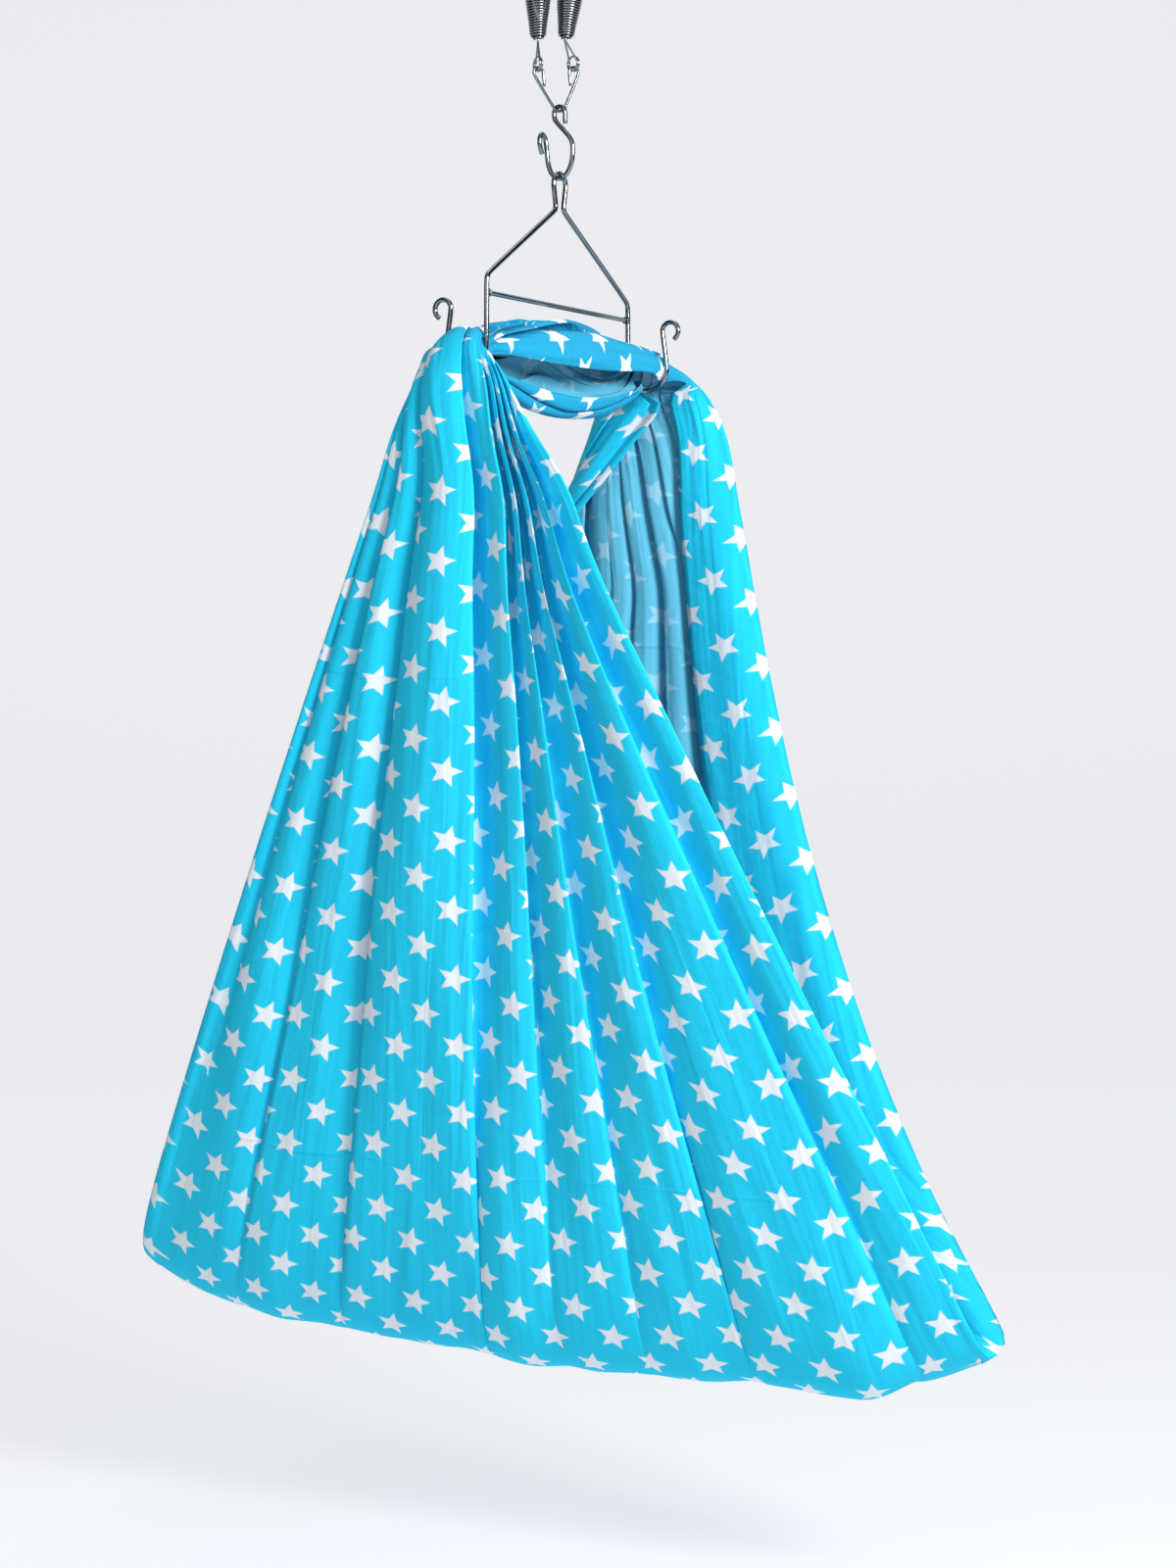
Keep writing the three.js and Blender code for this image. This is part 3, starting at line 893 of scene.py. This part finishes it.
@dataclass
class Sling:
    """One sewn tube of printed cotton, gathered over the hanger's two troughs."""

    printed: bpy.types.Material
    reverse: bpy.types.Material
    flat_map = "cloth"
    body: str = "hanger"
    slot: str = "printed_cotton"
    nodes: tuple[str, ...] = (
        "sling_near_panel",
        "sling_far_panel",
        "sling_near_gather",
        "sling_far_gather",
        "sling_top_band",
    )
    width: float = 1.16
    thickness: float = 0.00035
    pouch_drop: float = 1.235
    pouch_roundness: float = 0.0446
    minus_lift: float = 0.091
    plus_lift: float = 0.056
    panel_top: float = 0.050
    panel_start: float = 0.083
    panel_half_span: float = 0.182
    trough_place: float = 0.027
    trough_line: float = 0.160
    face_columns: tuple[int, ...] = (7, 15, 16, 22, 18, 14, 14, 17, 28)
    flap_columns: int = 12
    fold_columns: int = 8
    fold_sway: float = 0.003
    deepest_tuck: float = 0.038
    panel_rows: int = 86
    bend_rows: int = 12
    band_rows: int = 34
    folds: tuple[Fold, ...] = (
        Fold(-0.965, 0.15, Face.UNDER_RIGHT, -0.93),
        Fold(-0.77, 0.8, Face.UNDER_RIGHT, -0.70),
        Fold(-0.50, 0.85, Face.UNDER_RIGHT, -0.48),
        Fold(-0.115, 1.0, Face.UNDER_LEFT, -0.22),
        Fold(0.06, 0.75, Face.UNDER_LEFT, 0.00),
        Fold(0.26, 0.8, Face.UNDER_LEFT, 0.20),
        Fold(0.50, 0.9, Face.UNDER_LEFT, 0.38),
        Fold(0.87, 0.9, Face.UNDER_LEFT, 0.55),
    )
    near_faces: tuple[float, ...] = (4, 14, 22, 48, 24, 6, 5, 6, 17)
    band_faces: tuple[float, ...] = (12, 26, 14, 5, 4, 4, 7, 12, 22)
    far_faces: tuple[float, ...] = (4, 14, 12, 10, 7, 9, 7, 8, 45)

    def bottom_level(self, across: np.ndarray) -> np.ndarray:
        """The level of the tube's lowest line at places across its width."""
        minus = self.minus_lift * (0.55 * (np.sqrt(across**2 + 0.02) - 0.14) + 0.45 * across**10)
        plus = self.plus_lift * smooth(across, 0.72, 1.02)
        return np.where(across < 0, minus, plus) - self.pouch_drop

    def edges(self, side: int, fall: float) -> tuple[float, float]:
        """The outer edges of a panel's row.

        Args:
            side: -1 for the near panel and 1 for the far one.
            fall: Share of the way down.

        Returns:
            The places of its two edges along X.
        """
        minus_drop = (self.pouch_drop - self.minus_lift - self.panel_top) * fall
        plus_drop = (self.pouch_drop - self.plus_lift - self.panel_top) * fall
        if side < 0:
            minus = 0.046 + 0.020 * (1 - math.exp(-minus_drop / 0.030)) + 0.45 * minus_drop + 0.030 * fall**8
            plus = 0.011 + 0.52 * plus_drop - 0.040 * fall**10
            plus += 0.013 * math.exp(-(((plus_drop - 0.165) / 0.07) ** 2))
        else:
            minus = 0.003 + 0.020 * (1 - math.exp(-minus_drop / 0.025)) + 0.497 * minus_drop + 0.022 * fall**8
            minus += 0.045 * math.exp(-minus_drop / 0.060)
            plus = 0.049 + 0.062 * (1 - math.exp(-plus_drop / 0.045)) + 0.19 * plus_drop
            plus += 0.1474 * plus_drop**3 + 0.034 * fall**14 - 0.010 * fall**60
        return -minus, plus

    def flaps(self, side: int, fall: float) -> tuple[float, float]:
        """How much cloth turns in along each edge of a panel.

        Args:
            side: -1 for the near panel and 1 for the far one.
            fall: Share of the way down.

        Returns:
            The turned-in widths along the minus and the plus edge.
        """
        if side < 0:
            return 0.0, 0.0
        minus = 0.12 * max(0.0, 1 - fall / 0.23)
        plus = (0.055 + 0.12 * fall) * (1 - 0.55 * float(smooth(fall, 0.80, 0.97))) * (1 - fall**120)
        plus = max(plus, 0.004)
        return minus, plus

    def places(self, share: float, fall: float = 0.0) -> np.ndarray:
        """The fold lines' places across the cloth, from -1 to 1, straying a little on the way down.

        Args:
            share: Share of the way round the loop.
            fall: Share of the way down a panel.

        Returns:
            One place for each fold.
        """
        near = np.array([fold.place for fold in self.folds])
        far = np.array([fold.far_place for fold in self.folds])
        number = np.arange(len(self.folds)) // 2
        sway = np.sin(fall * 5.2 + number * 1.9) + 0.6 * np.sin(fall * 11.0 + number * 3.1)
        return near + (far - near) * share + self.fold_sway * (1 - share) * sway * fall * (1 - fall) * 4

    def widths(
        self, room: float, pull: float, share: float, places: np.ndarray, slots: np.ndarray
    ) -> np.ndarray:
        """Shares a row's room among the faces between the folds.

        Args:
            room: The row's whole width.
            pull: 1 where the cloth is fully gathered, 0 where it hangs flat.
            share: Share of the way round the loop.
            places: The fold lines' places.
            slots: The folds' own widths.

        Returns:
            Each face's shown width.
        """
        limits = np.concatenate([[-1.0], places, [1.0]])
        cloth = np.diff(limits) * self.width / 2
        sets = np.array([self.near_faces, self.band_faces, self.far_faces], float)
        sets /= sets.sum(1, keepdims=True)
        prominence = np.array([np.interp(share, [0, 0.5, 1], column) for column in sets.T])
        wish = pull * prominence / prominence.sum() + (1 - pull) * cloth / cloth.sum()
        left = room - slots.sum()
        shown = np.minimum(wish * left, cloth)
        for _ in range(4):
            spare = cloth - shown
            shown = shown + (left - shown.sum()) * spare / max(spare.sum(), TINY)
            shown = np.clip(shown, 0.0013, cloth)
        return shown

    def profile(self, room: float, pull: float, height: float, share: float, fall: float = 0.0) -> np.ndarray:
        """Works out one row of cloth as if laid flat with its folds standing.

        Args:
            room: The row's whole width.
            pull: 1 where the cloth is fully gathered, 0 where it hangs flat.
            height: How far folds may stand out of the row's surface.
            share: Share of the way round the loop.
            fall: Share of the way down a panel.

        Returns:
            For each column: place along the row, height over it, and place across the flat cloth.
        """
        places = self.places(share, fall)
        strength = np.array([fold.strength for fold in self.folds])
        tuck = np.array([fold.tuck.value for fold in self.folds], float)
        open_share = 1 - pull
        slots = (0.0007 + 0.016 * open_share**2.4 * (1.25 - strength)) * (1 + 1.5 * share)
        slots *= min(1.0, room * 0.3 / slots.sum())
        shown = self.widths(room, pull, share, places, slots)
        beside = np.minimum(shown[1:] + shown[:-1], 0.03) / 0.03
        ease = 1 - smooth(fall, 0.25 + 0.30 * strength, 0.80 + 0.28 * strength)
        slots = np.maximum(slots * (0.25 + 0.75 * beside), 0.0006)
        limits = np.concatenate([[-1.0], places, [1.0]])
        centre = (limits[1:] + limits[:-1]) / 2 * self.width / 2
        centre[0] = (shown[0] - self.width) / 2
        centre[-1] = (self.width - shown[-1]) / 2
        step = height * 0.7 * strength * (0.25 + 0.75 * beside) * ease
        rows = []
        at = 0.0
        for number, wide in enumerate(shown):
            s = np.linspace(0, 1, self.face_columns[number])
            low = -tuck[number - 1] * step[number - 1] if number > 0 else 0.0
            high = tuck[number] * step[number] if number < len(step) else 0.0
            crown = min(height * 0.8, wide * 0.17) * (1 - (2 * s - 1) ** 2)
            lift = low + (high - low) * s**1.3 + crown
            rows.append(np.stack([at + wide * s, lift, centre[number] + wide * (s - 0.5)], 1))
            at += wide
            if number == len(step):
                break
            start, end = rows[-1][-1], None
            slot = slots[number]
            next_lift = -tuck[number] * step[number]
            next_cloth = centre[number + 1] - shown[number + 1] / 2
            hidden = max(next_cloth - start[2] - slot, 0.0)
            deep = min(hidden / 2, 2 / math.pi * math.sqrt(max(slot, MICRON) * hidden), height * 2.2)
            deep = max(deep, min(hidden / 2, height * 1.5 * pull))
            deep = deep * (1 - 0.35 * share) * (0.2 + 0.8 * ease[number])
            t = np.arange(1, self.fold_columns + 1) / (self.fold_columns + 1)
            bow = np.sin(math.pi * t)
            limits = (wide * 0.85, shown[number + 1] * 0.85, hidden / 2)
            under = min(self.deepest_tuck * strength[number], *limits)
            under *= 0.22 + 0.78 * pull**0.6
            across = at + slot * t - tuck[number] * under * bow
            lift = start[1] + (next_lift - start[1]) * t - deep * bow**0.8
            tucked = self.hidden_cloth(start, across, lift, at + slot, next_lift, next_cloth)
            rows.append(np.stack([across, lift, tucked], 1))
            at += slot
        joined = np.concatenate(rows)
        joined[:, 0] *= room / at
        return joined

    @staticmethod
    def hidden_cloth(
        start: np.ndarray, across: np.ndarray, lift: np.ndarray, end: float, end_lift: float, end_cloth: float
    ) -> np.ndarray:
        """Lays the flat cloth over a fold's two walls, so that what cannot be shown is lost in its depth.

        Args:
            start: The last column before the fold: place, height and place across the flat cloth.
            across: The fold's places along the row.
            lift: The fold's heights.
            end: The place of the first column after the fold.
            end_lift: Its height.
            end_cloth: Its place across the flat cloth.

        Returns:
            The places across the flat cloth.
        """
        line_across = np.concatenate([[start[0]], across, [end]])
        line_lift = np.concatenate([[start[1]], lift, [end_lift]])
        line = np.stack([line_across, line_lift])
        run = np.concatenate([[0.0], np.cumsum(np.hypot(*np.diff(line)))])
        whole = max(run[-1], TINY)
        cloth = end_cloth - start[2]
        if whole > cloth:
            return start[2] + run[1:-1] * cloth / whole
        half = len(across) // 2
        return np.concatenate([start[2] + run[1 : half + 1], end_cloth - whole + run[half + 1 : -1]])

    def wrinkles(self, cloth: np.ndarray, along: float) -> np.ndarray:
        """Small soft ripples that keep rows from looking drawn with a ruler.

        Args:
            cloth: Places across the flat cloth.
            along: Place along the cloth.

        Returns:
            Heights in shares of the ripples' size.
        """
        total = np.zeros_like(cloth)
        waves = ((31.0, 2.3, 0.4, 0.8), (53.0, -4.1, 1.9, 0.5), (15.0, 4.4, 3.3, 1.2), (83.0, 7.9, 5.2, 0.3))
        for across_rate, along_rate, phase, size in waves:
            total += size * np.sin(cloth * across_rate + along * along_rate * 2 + phase)
        return total / 2

    def panel_row(self, side: int, fall: float, share: float) -> tuple[np.ndarray, np.ndarray, np.ndarray]:
        """One row of a hanging panel.

        Args:
            side: -1 for the near panel and 1 for the far one.
            fall: Share of the way down.
            share: Share of the way round the loop.

        Returns:
            The row's points, its smooth base points, and the columns' places across the flat cloth.
        """
        minus, plus = self.edges(side, fall)
        minus_flap, plus_flap = self.flaps(side, fall)
        room = plus - minus + minus_flap + plus_flap
        pull = (1 - fall) ** 2
        height = 0.006 + 0.012 * float(smooth(fall, 0.0, 0.25)) - 0.0155 * float(smooth(fall, 0.4, 1.0))
        row = self.profile(room, pull, height, share, fall)
        beside_edges = smooth(np.minimum(row[:, 0], room - row[:, 0]), 0.0, 0.08)
        if plus_flap > 0:
            row = self.with_fold_column(row, room - plus_flap)
            beside_edges = smooth(np.minimum(row[:, 0], room - plus_flap - row[:, 0]), 0.0, 0.08)
        run = row[:, 0] + minus - minus_flap
        inward = np.zeros_like(run)
        flat = np.ones_like(run)
        if plus_flap > 0:
            flat *= smooth(np.abs(run - plus), 0.0, 0.045)
        if minus_flap > 0:
            flat *= smooth(np.abs(run - minus), 0.0, 0.03)
        past = run - plus
        turned = past > 0
        run = np.where(turned, plus - past, run)
        inward = np.where(turned, -0.012 * smooth(past, 0, 0.03) - 0.0015, inward)
        before = minus - run
        turned = before > 0
        run = np.where(turned, minus + before, run)
        inward = np.where(turned, -0.012 * smooth(before, 0, 0.03) - 0.0015, inward)
        lift = np.where(inward < 0, -row[:, 1] * 0.4, row[:, 1]) * flat
        if plus_flap > 0:
            lift = np.where(run > plus - plus_flap - 0.012, np.maximum(lift, -0.004), lift)
        if minus_flap > 0:
            lift = np.where(run < minus + minus_flap + 0.012, np.maximum(lift, -0.004), lift)
        cloth = row[:, 2]
        across = np.clip((run - minus) / (plus - minus) * 2 - 1, -1, 1)
        roll = float(1 - smooth(fall, 0.03, 0.16))
        turning = math.radians(200 if side < 0 else 130) * roll + 0.001
        swing = across * turning / 2
        middle, half = (plus + minus) / 2, (plus - minus) / 2
        run = middle + half * np.sin(swing) / math.sin(min(turning / 2, math.pi / 2))
        curl = -0.017 * roll * (1 - np.cos(swing))
        bottom = self.bottom_level(across)
        level = -self.panel_top + fall * (bottom + self.panel_top)
        climb = np.maximum(level - bottom, 0)
        slope = np.arccosh(1 + climb / self.pouch_roundness)
        full = np.arccosh(1 + (-self.panel_top - bottom) / self.pouch_roundness)
        reach = self.panel_half_span * slope / full + 0.018 * roll
        out = np.stack([np.zeros_like(run), side * np.tanh(slope), -1 / np.cosh(slope)], 1)
        base = np.stack([run, side * reach, level], 1)
        ripple = 0.0042 * self.wrinkles(cloth, fall * side) * float(smooth(fall, 0.10, 0.55)) * beside_edges
        points = base + out * (lift + inward + curl + ripple)[:, None]
        return points, base, cloth

    def with_fold_column(self, row: np.ndarray, fold: float) -> np.ndarray:
        """Spreads the last face's columns again, so that one column always lies on the turned edge.

        Args:
            row: A row's columns: place, height and place across the flat cloth.
            fold: The turned edge's place along the row.

        Returns:
            The row with its last face's columns moved.
        """
        first = len(row) - self.face_columns[-1]
        last_face = row[first:]
        count = self.face_columns[-1] - self.flap_columns
        shown = np.linspace(last_face[0, 0], fold, count)
        turned = np.linspace(fold, last_face[-1, 0], self.flap_columns + 1)[1:]
        places = np.concatenate([shown, turned])
        moved = [np.interp(places, last_face[:, 0], last_face[:, k]) for k in range(3)]
        return np.concatenate([row[:first], np.stack(moved, 1)])

    def sections(self) -> list[Section]:
        """The gathered cloth's cuts from the near panel's top over the hanger to the far panel's top."""
        near_minus, near_plus = self.edges(-1, self.start_fall())
        far_minus, far_plus = self.edges(1, self.start_fall())
        down = self.panel_start
        line = self.trough_line
        round_turn, open_turn = math.radians(310), math.radians(322)
        hang = math.radians(200)
        spot = self.trough_place
        near_mid, near_half = (near_minus + near_plus) / 2, (near_plus - near_minus) / 2
        far_mid, far_half = (far_minus + far_plus) / 2, (far_plus - far_minus) / 2
        quarter = math.pi / 2
        side = math.radians(-72)
        return [
            Section((near_mid, -0.183, -down), -quarter, near_half, 0.017, hang, 0.0),
            Section(
                (near_mid - 0.002, -0.180, -0.068), -quarter * 0.62, near_half * 0.78, 0.019, hang * 1.15, 0.0
            ),
            Section((-spot, -0.170, -0.061), -quarter * 0.2, 0.027, 0.021, round_turn, side * 0.06),
            Section((-spot, -line + 0.004, -0.059), 0.0, 0.0232, 0.0225, round_turn, side * 0.3),
            Section((-spot * 0.97, -0.142, -0.061), 0.0, 0.024, 0.026, round_turn, side * 0.7),
            Section((-spot * 0.8, -0.115, -0.066), 0.0, 0.026, 0.037, open_turn, side),
            Section((-spot * 0.4, -0.060, -0.071), 0.0, 0.030, 0.052, open_turn, side),
            Section((0.0, 0.0, -0.073), 0.0, 0.032, 0.057, open_turn, side),
            Section((spot * 0.4, 0.060, -0.072), 0.0, 0.030, 0.052, open_turn, side),
            Section((spot * 0.8, 0.115, -0.067), 0.0, 0.026, 0.036, open_turn, side),
            Section((spot * 0.97, 0.142, -0.061), 0.0, 0.024, 0.026, round_turn, side * 0.7),
            Section((spot, line - 0.004, -0.059), 0.0, 0.0232, 0.0225, round_turn, side * 0.3),
            Section((spot, 0.170, -0.061), quarter * 0.2, 0.027, 0.021, round_turn, side * 0.06),
            Section(
                (far_mid - 0.002, 0.180, -0.068), quarter * 0.62, far_half * 0.78, 0.019, hang * 1.15, 0.0
            ),
            Section((far_mid, 0.183, -down), quarter, far_half, 0.017, hang, 0.0),
        ]

    def start_fall(self) -> float:
        """The share of a panel's fall where its gathered head begins."""
        return (self.panel_start - self.panel_top) / (self.pouch_drop - self.panel_top)

    def section_row(
        self, cut: np.ndarray, share: float, along: float
    ) -> tuple[np.ndarray, np.ndarray, np.ndarray]:
        """One row of the gathered cloth.

        Args:
            cut: A section's values in the order of its fields.
            share: Share of the way round the loop.
            along: Share of the way over the hanger.

        Returns:
            The row's points, its smooth base points, and the columns' places across the flat cloth.
        """
        centre, lean, half_width, half_depth, turning, twist = cut[:3], cut[3], cut[4], cut[5], cut[6], cut[7]
        room = turning * (half_width + half_depth) / 2
        height = min(0.006, half_depth * 0.16)
        row = self.profile(room, 0.97, height, share)
        across = row[:, 0] / room * 2 - 1
        angle = across * turning / 2 + twist
        ripple = 0.0016 * self.wrinkles(row[:, 2] * 0.6, along * 3)
        lift = row[:, 1] + ripple - height * 0.4
        out = np.array([0.0, math.sin(lean), math.cos(lean)])
        side = np.array([1.0, 0.0, 0.0])
        reach_side = (half_width + lift) * np.sin(angle)
        reach_out = (half_depth + lift) * np.cos(angle)
        points = centre + reach_side[:, None] * side + reach_out[:, None] * out
        base = centre + half_width * np.sin(angle)[:, None] * side + half_depth * np.cos(angle)[:, None] * out
        return points, base, row[:, 2]

    def rows(self) -> tuple[np.ndarray, np.ndarray, np.ndarray]:
        """All rows round the loop, from the lowest line up the near panel and back down the far one.

        Returns:
            Points, base points and flat places, each by row and column.
        """
        start = self.start_fall()
        quarter_turn = np.linspace(0, 1, self.panel_rows) * math.pi * 0.5
        falls = 1 - (1 - start) * (1 - np.cos(quarter_turn)) ** 0.5
        falls = 1 - (1 - start) * np.linspace(0, 1, self.panel_rows) ** 1.12
        made = [self.panel_row(-1, float(fall), 0.0) for fall in falls]
        cuts = np.array(
            [
                [*cut.centre, cut.lean, cut.half_width, cut.half_depth, cut.turning, cut.twist]
                for cut in self.sections()
            ]
        )
        key = np.linspace(0, 1, len(cuts))
        count = self.bend_rows * 2 + self.band_rows
        for share in np.linspace(0, 1, count + 2)[1:-1]:
            cut = np.array([np.interp(share, key, cuts[:, k]) for k in range(cuts.shape[1])])
            made.append(self.section_row(cut, float(smooth(share, 0.3, 0.7)), float(share)))
        made += [self.panel_row(1, float(fall), 1.0) for fall in falls[::-1]]
        made.pop()
        points, base, cloth = (np.array([row[k] for row in made]) for k in range(3))
        return points, base, cloth

    def eased(self, grid: np.ndarray, passes: int) -> np.ndarray:
        """Softens a grid along the loop, so that neighbouring rows flow into each other."""
        for _ in range(passes):
            grid = grid * 0.5 + (np.roll(grid, 1, 0) + np.roll(grid, -1, 0)) * 0.25
        return grid

    def build(self) -> bpy.types.Object:
        """Makes the sling.

        Returns:
            The cloth.
        """
        points, base, cloth = self.rows()
        points = self.eased(points, 2)
        base = self.eased(base, 2)
        rows, columns = cloth.shape
        points = points + np.array([0.0, 0.0, crossbar_level()])
        steps = np.linalg.norm(np.diff(base, axis=0, append=base[:1]), axis=2)
        steps = steps * 0.3 + steps.mean(1, keepdims=True) * 0.7
        length = np.concatenate([np.zeros((1, columns)), np.cumsum(steps, 0)])
        index = np.arange(rows * columns).reshape(rows, columns)
        after = np.roll(index, -1, 0)
        faces = np.stack([index[:, :-1], after[:, :-1], after[:, 1:], index[:, 1:]], 2).reshape(-1, 4)
        made = mesh_object("sling", points.reshape(-1, 3), faces[:, ::-1].tolist())
        layer = made.data.uv_layers.new(name=self.flat_map)
        next_cloth = np.roll(cloth, -1, 0)
        across = np.stack([cloth[:, :-1], next_cloth[:, :-1], next_cloth[:, 1:], cloth[:, 1:]], 2)
        along = np.stack([length[:-1, :-1], length[1:, :-1], length[1:, 1:], length[:-1, 1:]], 2)
        flat = np.stack([across, along], 3).reshape(-1, 4, 2)[:, ::-1]
        layer.data.foreach_set("uv", flat.reshape(-1).astype(np.float32))
        made.data.materials.append(self.printed)
        made.data.materials.append(self.reverse)
        shell = made.modifiers.new("cloth_thickness", "SOLIDIFY")
        shell.thickness = self.thickness
        shell.offset = -1.0
        shell.material_offset = 1
        shell.material_offset_rim = 0
        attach(made, self.body)
        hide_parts(*self.nodes)
        return made


@dataclass(frozen=True)
class SoftLight:
    """A square soft light that faces the sling: metres right, ahead and up, its size, its power in watts."""

    name: str
    right: float
    ahead: float
    up: float
    size: float
    power: float


@dataclass
class Studio:
    """The pale sweep, the soft lights and the camera at the photograph's angle."""

    backdrop: bpy.types.Material
    azimuth: float = math.radians(30.31)
    distance: float = 4.101
    drop: float = 0.494
    side_shift: float = 0.0329
    pitch: float = math.radians(0.83)
    lens: float = 81.0
    sensor: float = 36.0
    floor_level: float = -2.02
    wall_distance: float = 6.5
    wall_height: float = 8.0
    sweep_radius: float = 1.6
    sweep_steps: int = 16
    sweep_half_width: float = 10.0
    sweep_front: float = -7.5
    aim_drop: float = 0.5
    soft_lights: tuple[SoftLight, ...] = (
        SoftLight("key", 1.9, -2.6, 0.3, 1.1, 138),
        SoftLight("fill", -2.2, -2.8, 0.4, 1.4, 10),
        SoftLight("top", 0.0, 0.3, 1.9, 1.8, 12),
    )
    room_strength: float = 0.54
    room_colour: Colour = (1.5, 1.52, 1.58, 1.0)
    flag_stops: tuple[tuple[float, Colour], ...] = (
        (0.0, (1.0, 1.0, 1.0, 1.0)),
        (0.42, (0.85, 0.86, 0.87, 1.0)),
        (0.54, (0.015, 0.02, 0.02, 1.0)),
        (1.0, (0.02, 0.03, 0.03, 1.0)),
    )

    def build(self) -> None:
        """Sets up everything round the cradle."""
        self.camera()
        self.sweep()
        self.lights()
        self.world()
        settings = bpy.context.scene.view_settings
        settings.view_transform = "Standard"
        settings.look = "None"

    def directions(self) -> tuple[Vector, Vector]:
        """The camera's level right and forward directions."""
        across, ahead = math.cos(self.azimuth), math.sin(self.azimuth)
        return Vector((across, ahead, 0)), Vector((-ahead, across, 0))

    @staticmethod
    def placed(name: str, data: bpy.types.ID, place: Vector, look: Vector) -> bpy.types.Object:
        """Puts a camera or light in the scene.

        Args:
            name: Its name.
            data: The camera or light.
            place: Where it stands.
            look: The direction it faces.

        Returns:
            The object.
        """
        made = bpy.data.objects.new(name, data)
        made.location = place
        made.rotation_mode = "QUATERNION"
        made.rotation_quaternion = look.to_track_quat("-Z", "Y")
        bpy.context.scene.collection.objects.link(made)
        return made

    def camera(self) -> None:
        """Places the camera."""
        right, forward = self.directions()
        data = bpy.data.cameras.new("photo_camera")
        data.lens = self.lens
        data.sensor_width = self.sensor
        level = Vector((0, 0, crossbar_level() - self.drop))
        place = right * self.side_shift - forward * self.distance + level
        look = forward * math.cos(self.pitch) - Vector((0, 0, math.sin(self.pitch)))
        bpy.context.scene.camera = self.placed("photo_camera", data, place, look)

    def sweep(self) -> None:
        """Makes the floor that curves up into the wall."""
        right, forward = self.directions()
        radius = self.sweep_radius
        profile = [(self.sweep_front, self.floor_level)]
        for step in range(self.sweep_steps + 1):
            angle = math.pi / 2 * step / self.sweep_steps
            ahead = self.wall_distance - radius + radius * math.sin(angle)
            profile.append((ahead, self.floor_level + radius * (1 - math.cos(angle))))
        profile.append((self.wall_distance, self.floor_level + self.wall_height))
        points = []
        for ahead, level in profile:
            for aside in (-self.sweep_half_width, self.sweep_half_width):
                at = forward * ahead + right * aside
                points.append((at.x, at.y, level))
        faces = [(2 * k, 2 * k + 1, 2 * k + 3, 2 * k + 2) for k in range(len(profile) - 1)]
        made = mesh_object("studio_sweep", np.array(points), faces)
        made.data.materials.append(self.backdrop)

    def lights(self) -> None:
        """Hangs the soft lights."""
        right, forward = self.directions()
        aim = Vector((0, 0, crossbar_level() - self.aim_drop))
        for light in self.soft_lights:
            data = bpy.data.lights.new(light.name, "AREA")
            data.size = light.size
            data.energy = light.power
            place = right * light.right + forward * light.ahead + Vector((0, 0, light.up))
            self.placed(light.name, data, place, aim - place)

    def world(self) -> None:
        """Fills the room with even pale light and dark side flags that the plating mirrors."""
        right, _ = self.directions()
        world = bpy.data.worlds.new("studio_light")
        bpy.context.scene.world = world
        board = Board(world)
        place = board.add("ShaderNodeTexCoord", output="Generated")
        dot = {"operation": "DOT_PRODUCT"}
        sideways = board.add("ShaderNodeVectorMath", dot, {0: place, 1: right}, output="Value")
        aside = board.maths("ABSOLUTE", sideways)
        flags = board.add("ShaderNodeValToRGB", {"stops": self.flag_stops}, {"Fac": aside})
        seen = board.add("ShaderNodeLightPath", output="Is Camera Ray")
        colour = board.mix(seen, flags, self.room_colour)
        light = board.add("ShaderNodeBackground", None, {"Color": colour, "Strength": self.room_strength})
        board.add("ShaderNodeOutputWorld", inputs={"Surface": light})


def crossbar_level() -> float:
    """The level of the crossbar's middle to a micron. The sling, camera and lights are placed from it."""
    low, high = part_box("crossbar")
    return round((low.z + high.z) / 2, MICRON_DIGITS)


def wires(chrome: bpy.types.Material, steel: bpy.types.Material) -> list[WireWork]:
    """The wire pieces, grouped by body and size.

    Args:
        chrome: The hooks' and hanger's plating.
        steel: The spring eyes' plating.

    Returns:
        The groups, ready to build.
    """
    plated, sprung = "chromed_wire", "spring_steel"
    yoke = {"wire_radius": 0.0019}
    eye = {"wire_sides": 6, "wire_radius": 0.0012}
    return [
        WireWork("ceiling_hook", ("top_hook",), chrome, plated),
        WireWork("upper_yoke_body", ("upper_yoke",), chrome, plated, **yoke),
        WireWork("lower_yoke_body", ("lower_yoke",), chrome, plated, swing_room=0.00012, **yoke),
        WireWork("s_hook_body", ("s_hook",), chrome, plated, swing_room=0.00015),
        WireWork("hanger", ("hanger_wire", "weld_near", "weld_far"), chrome, plated),
        WireWork("hanger", ("crossbar",), chrome, plated, wire_sides=16),
        WireWork("lower_eyes", ("lower_eye_near", "lower_eye_far"), steel, sprung, **eye),
        WireWork("springs", ("upper_eye_near", "upper_eye_far"), steel, sprung, **eye),
    ]


def main() -> None:
    """Builds the dressed cradle and its studio."""
    logging.basicConfig(level=logging.INFO, format="%(name)s: %(message)s")
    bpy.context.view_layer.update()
    chrome = ChromeFinish().material()
    eyes = SpringFinish(name="eye_plating", wound=False).material()
    for group in wires(chrome, eyes):
        group.build()
    steel = SpringFinish().material()
    for node in ("spring_near", "spring_far"):
        BarrelSpring(node, steel).build()
    printed = CottonFinish(ClothSide.PRINTED).material()
    reverse = CottonFinish(ClothSide.REVERSE).material()
    Sling(printed, reverse).build()
    Studio(BackdropFinish().material()).build()


if __name__ == "__main__":
    main()
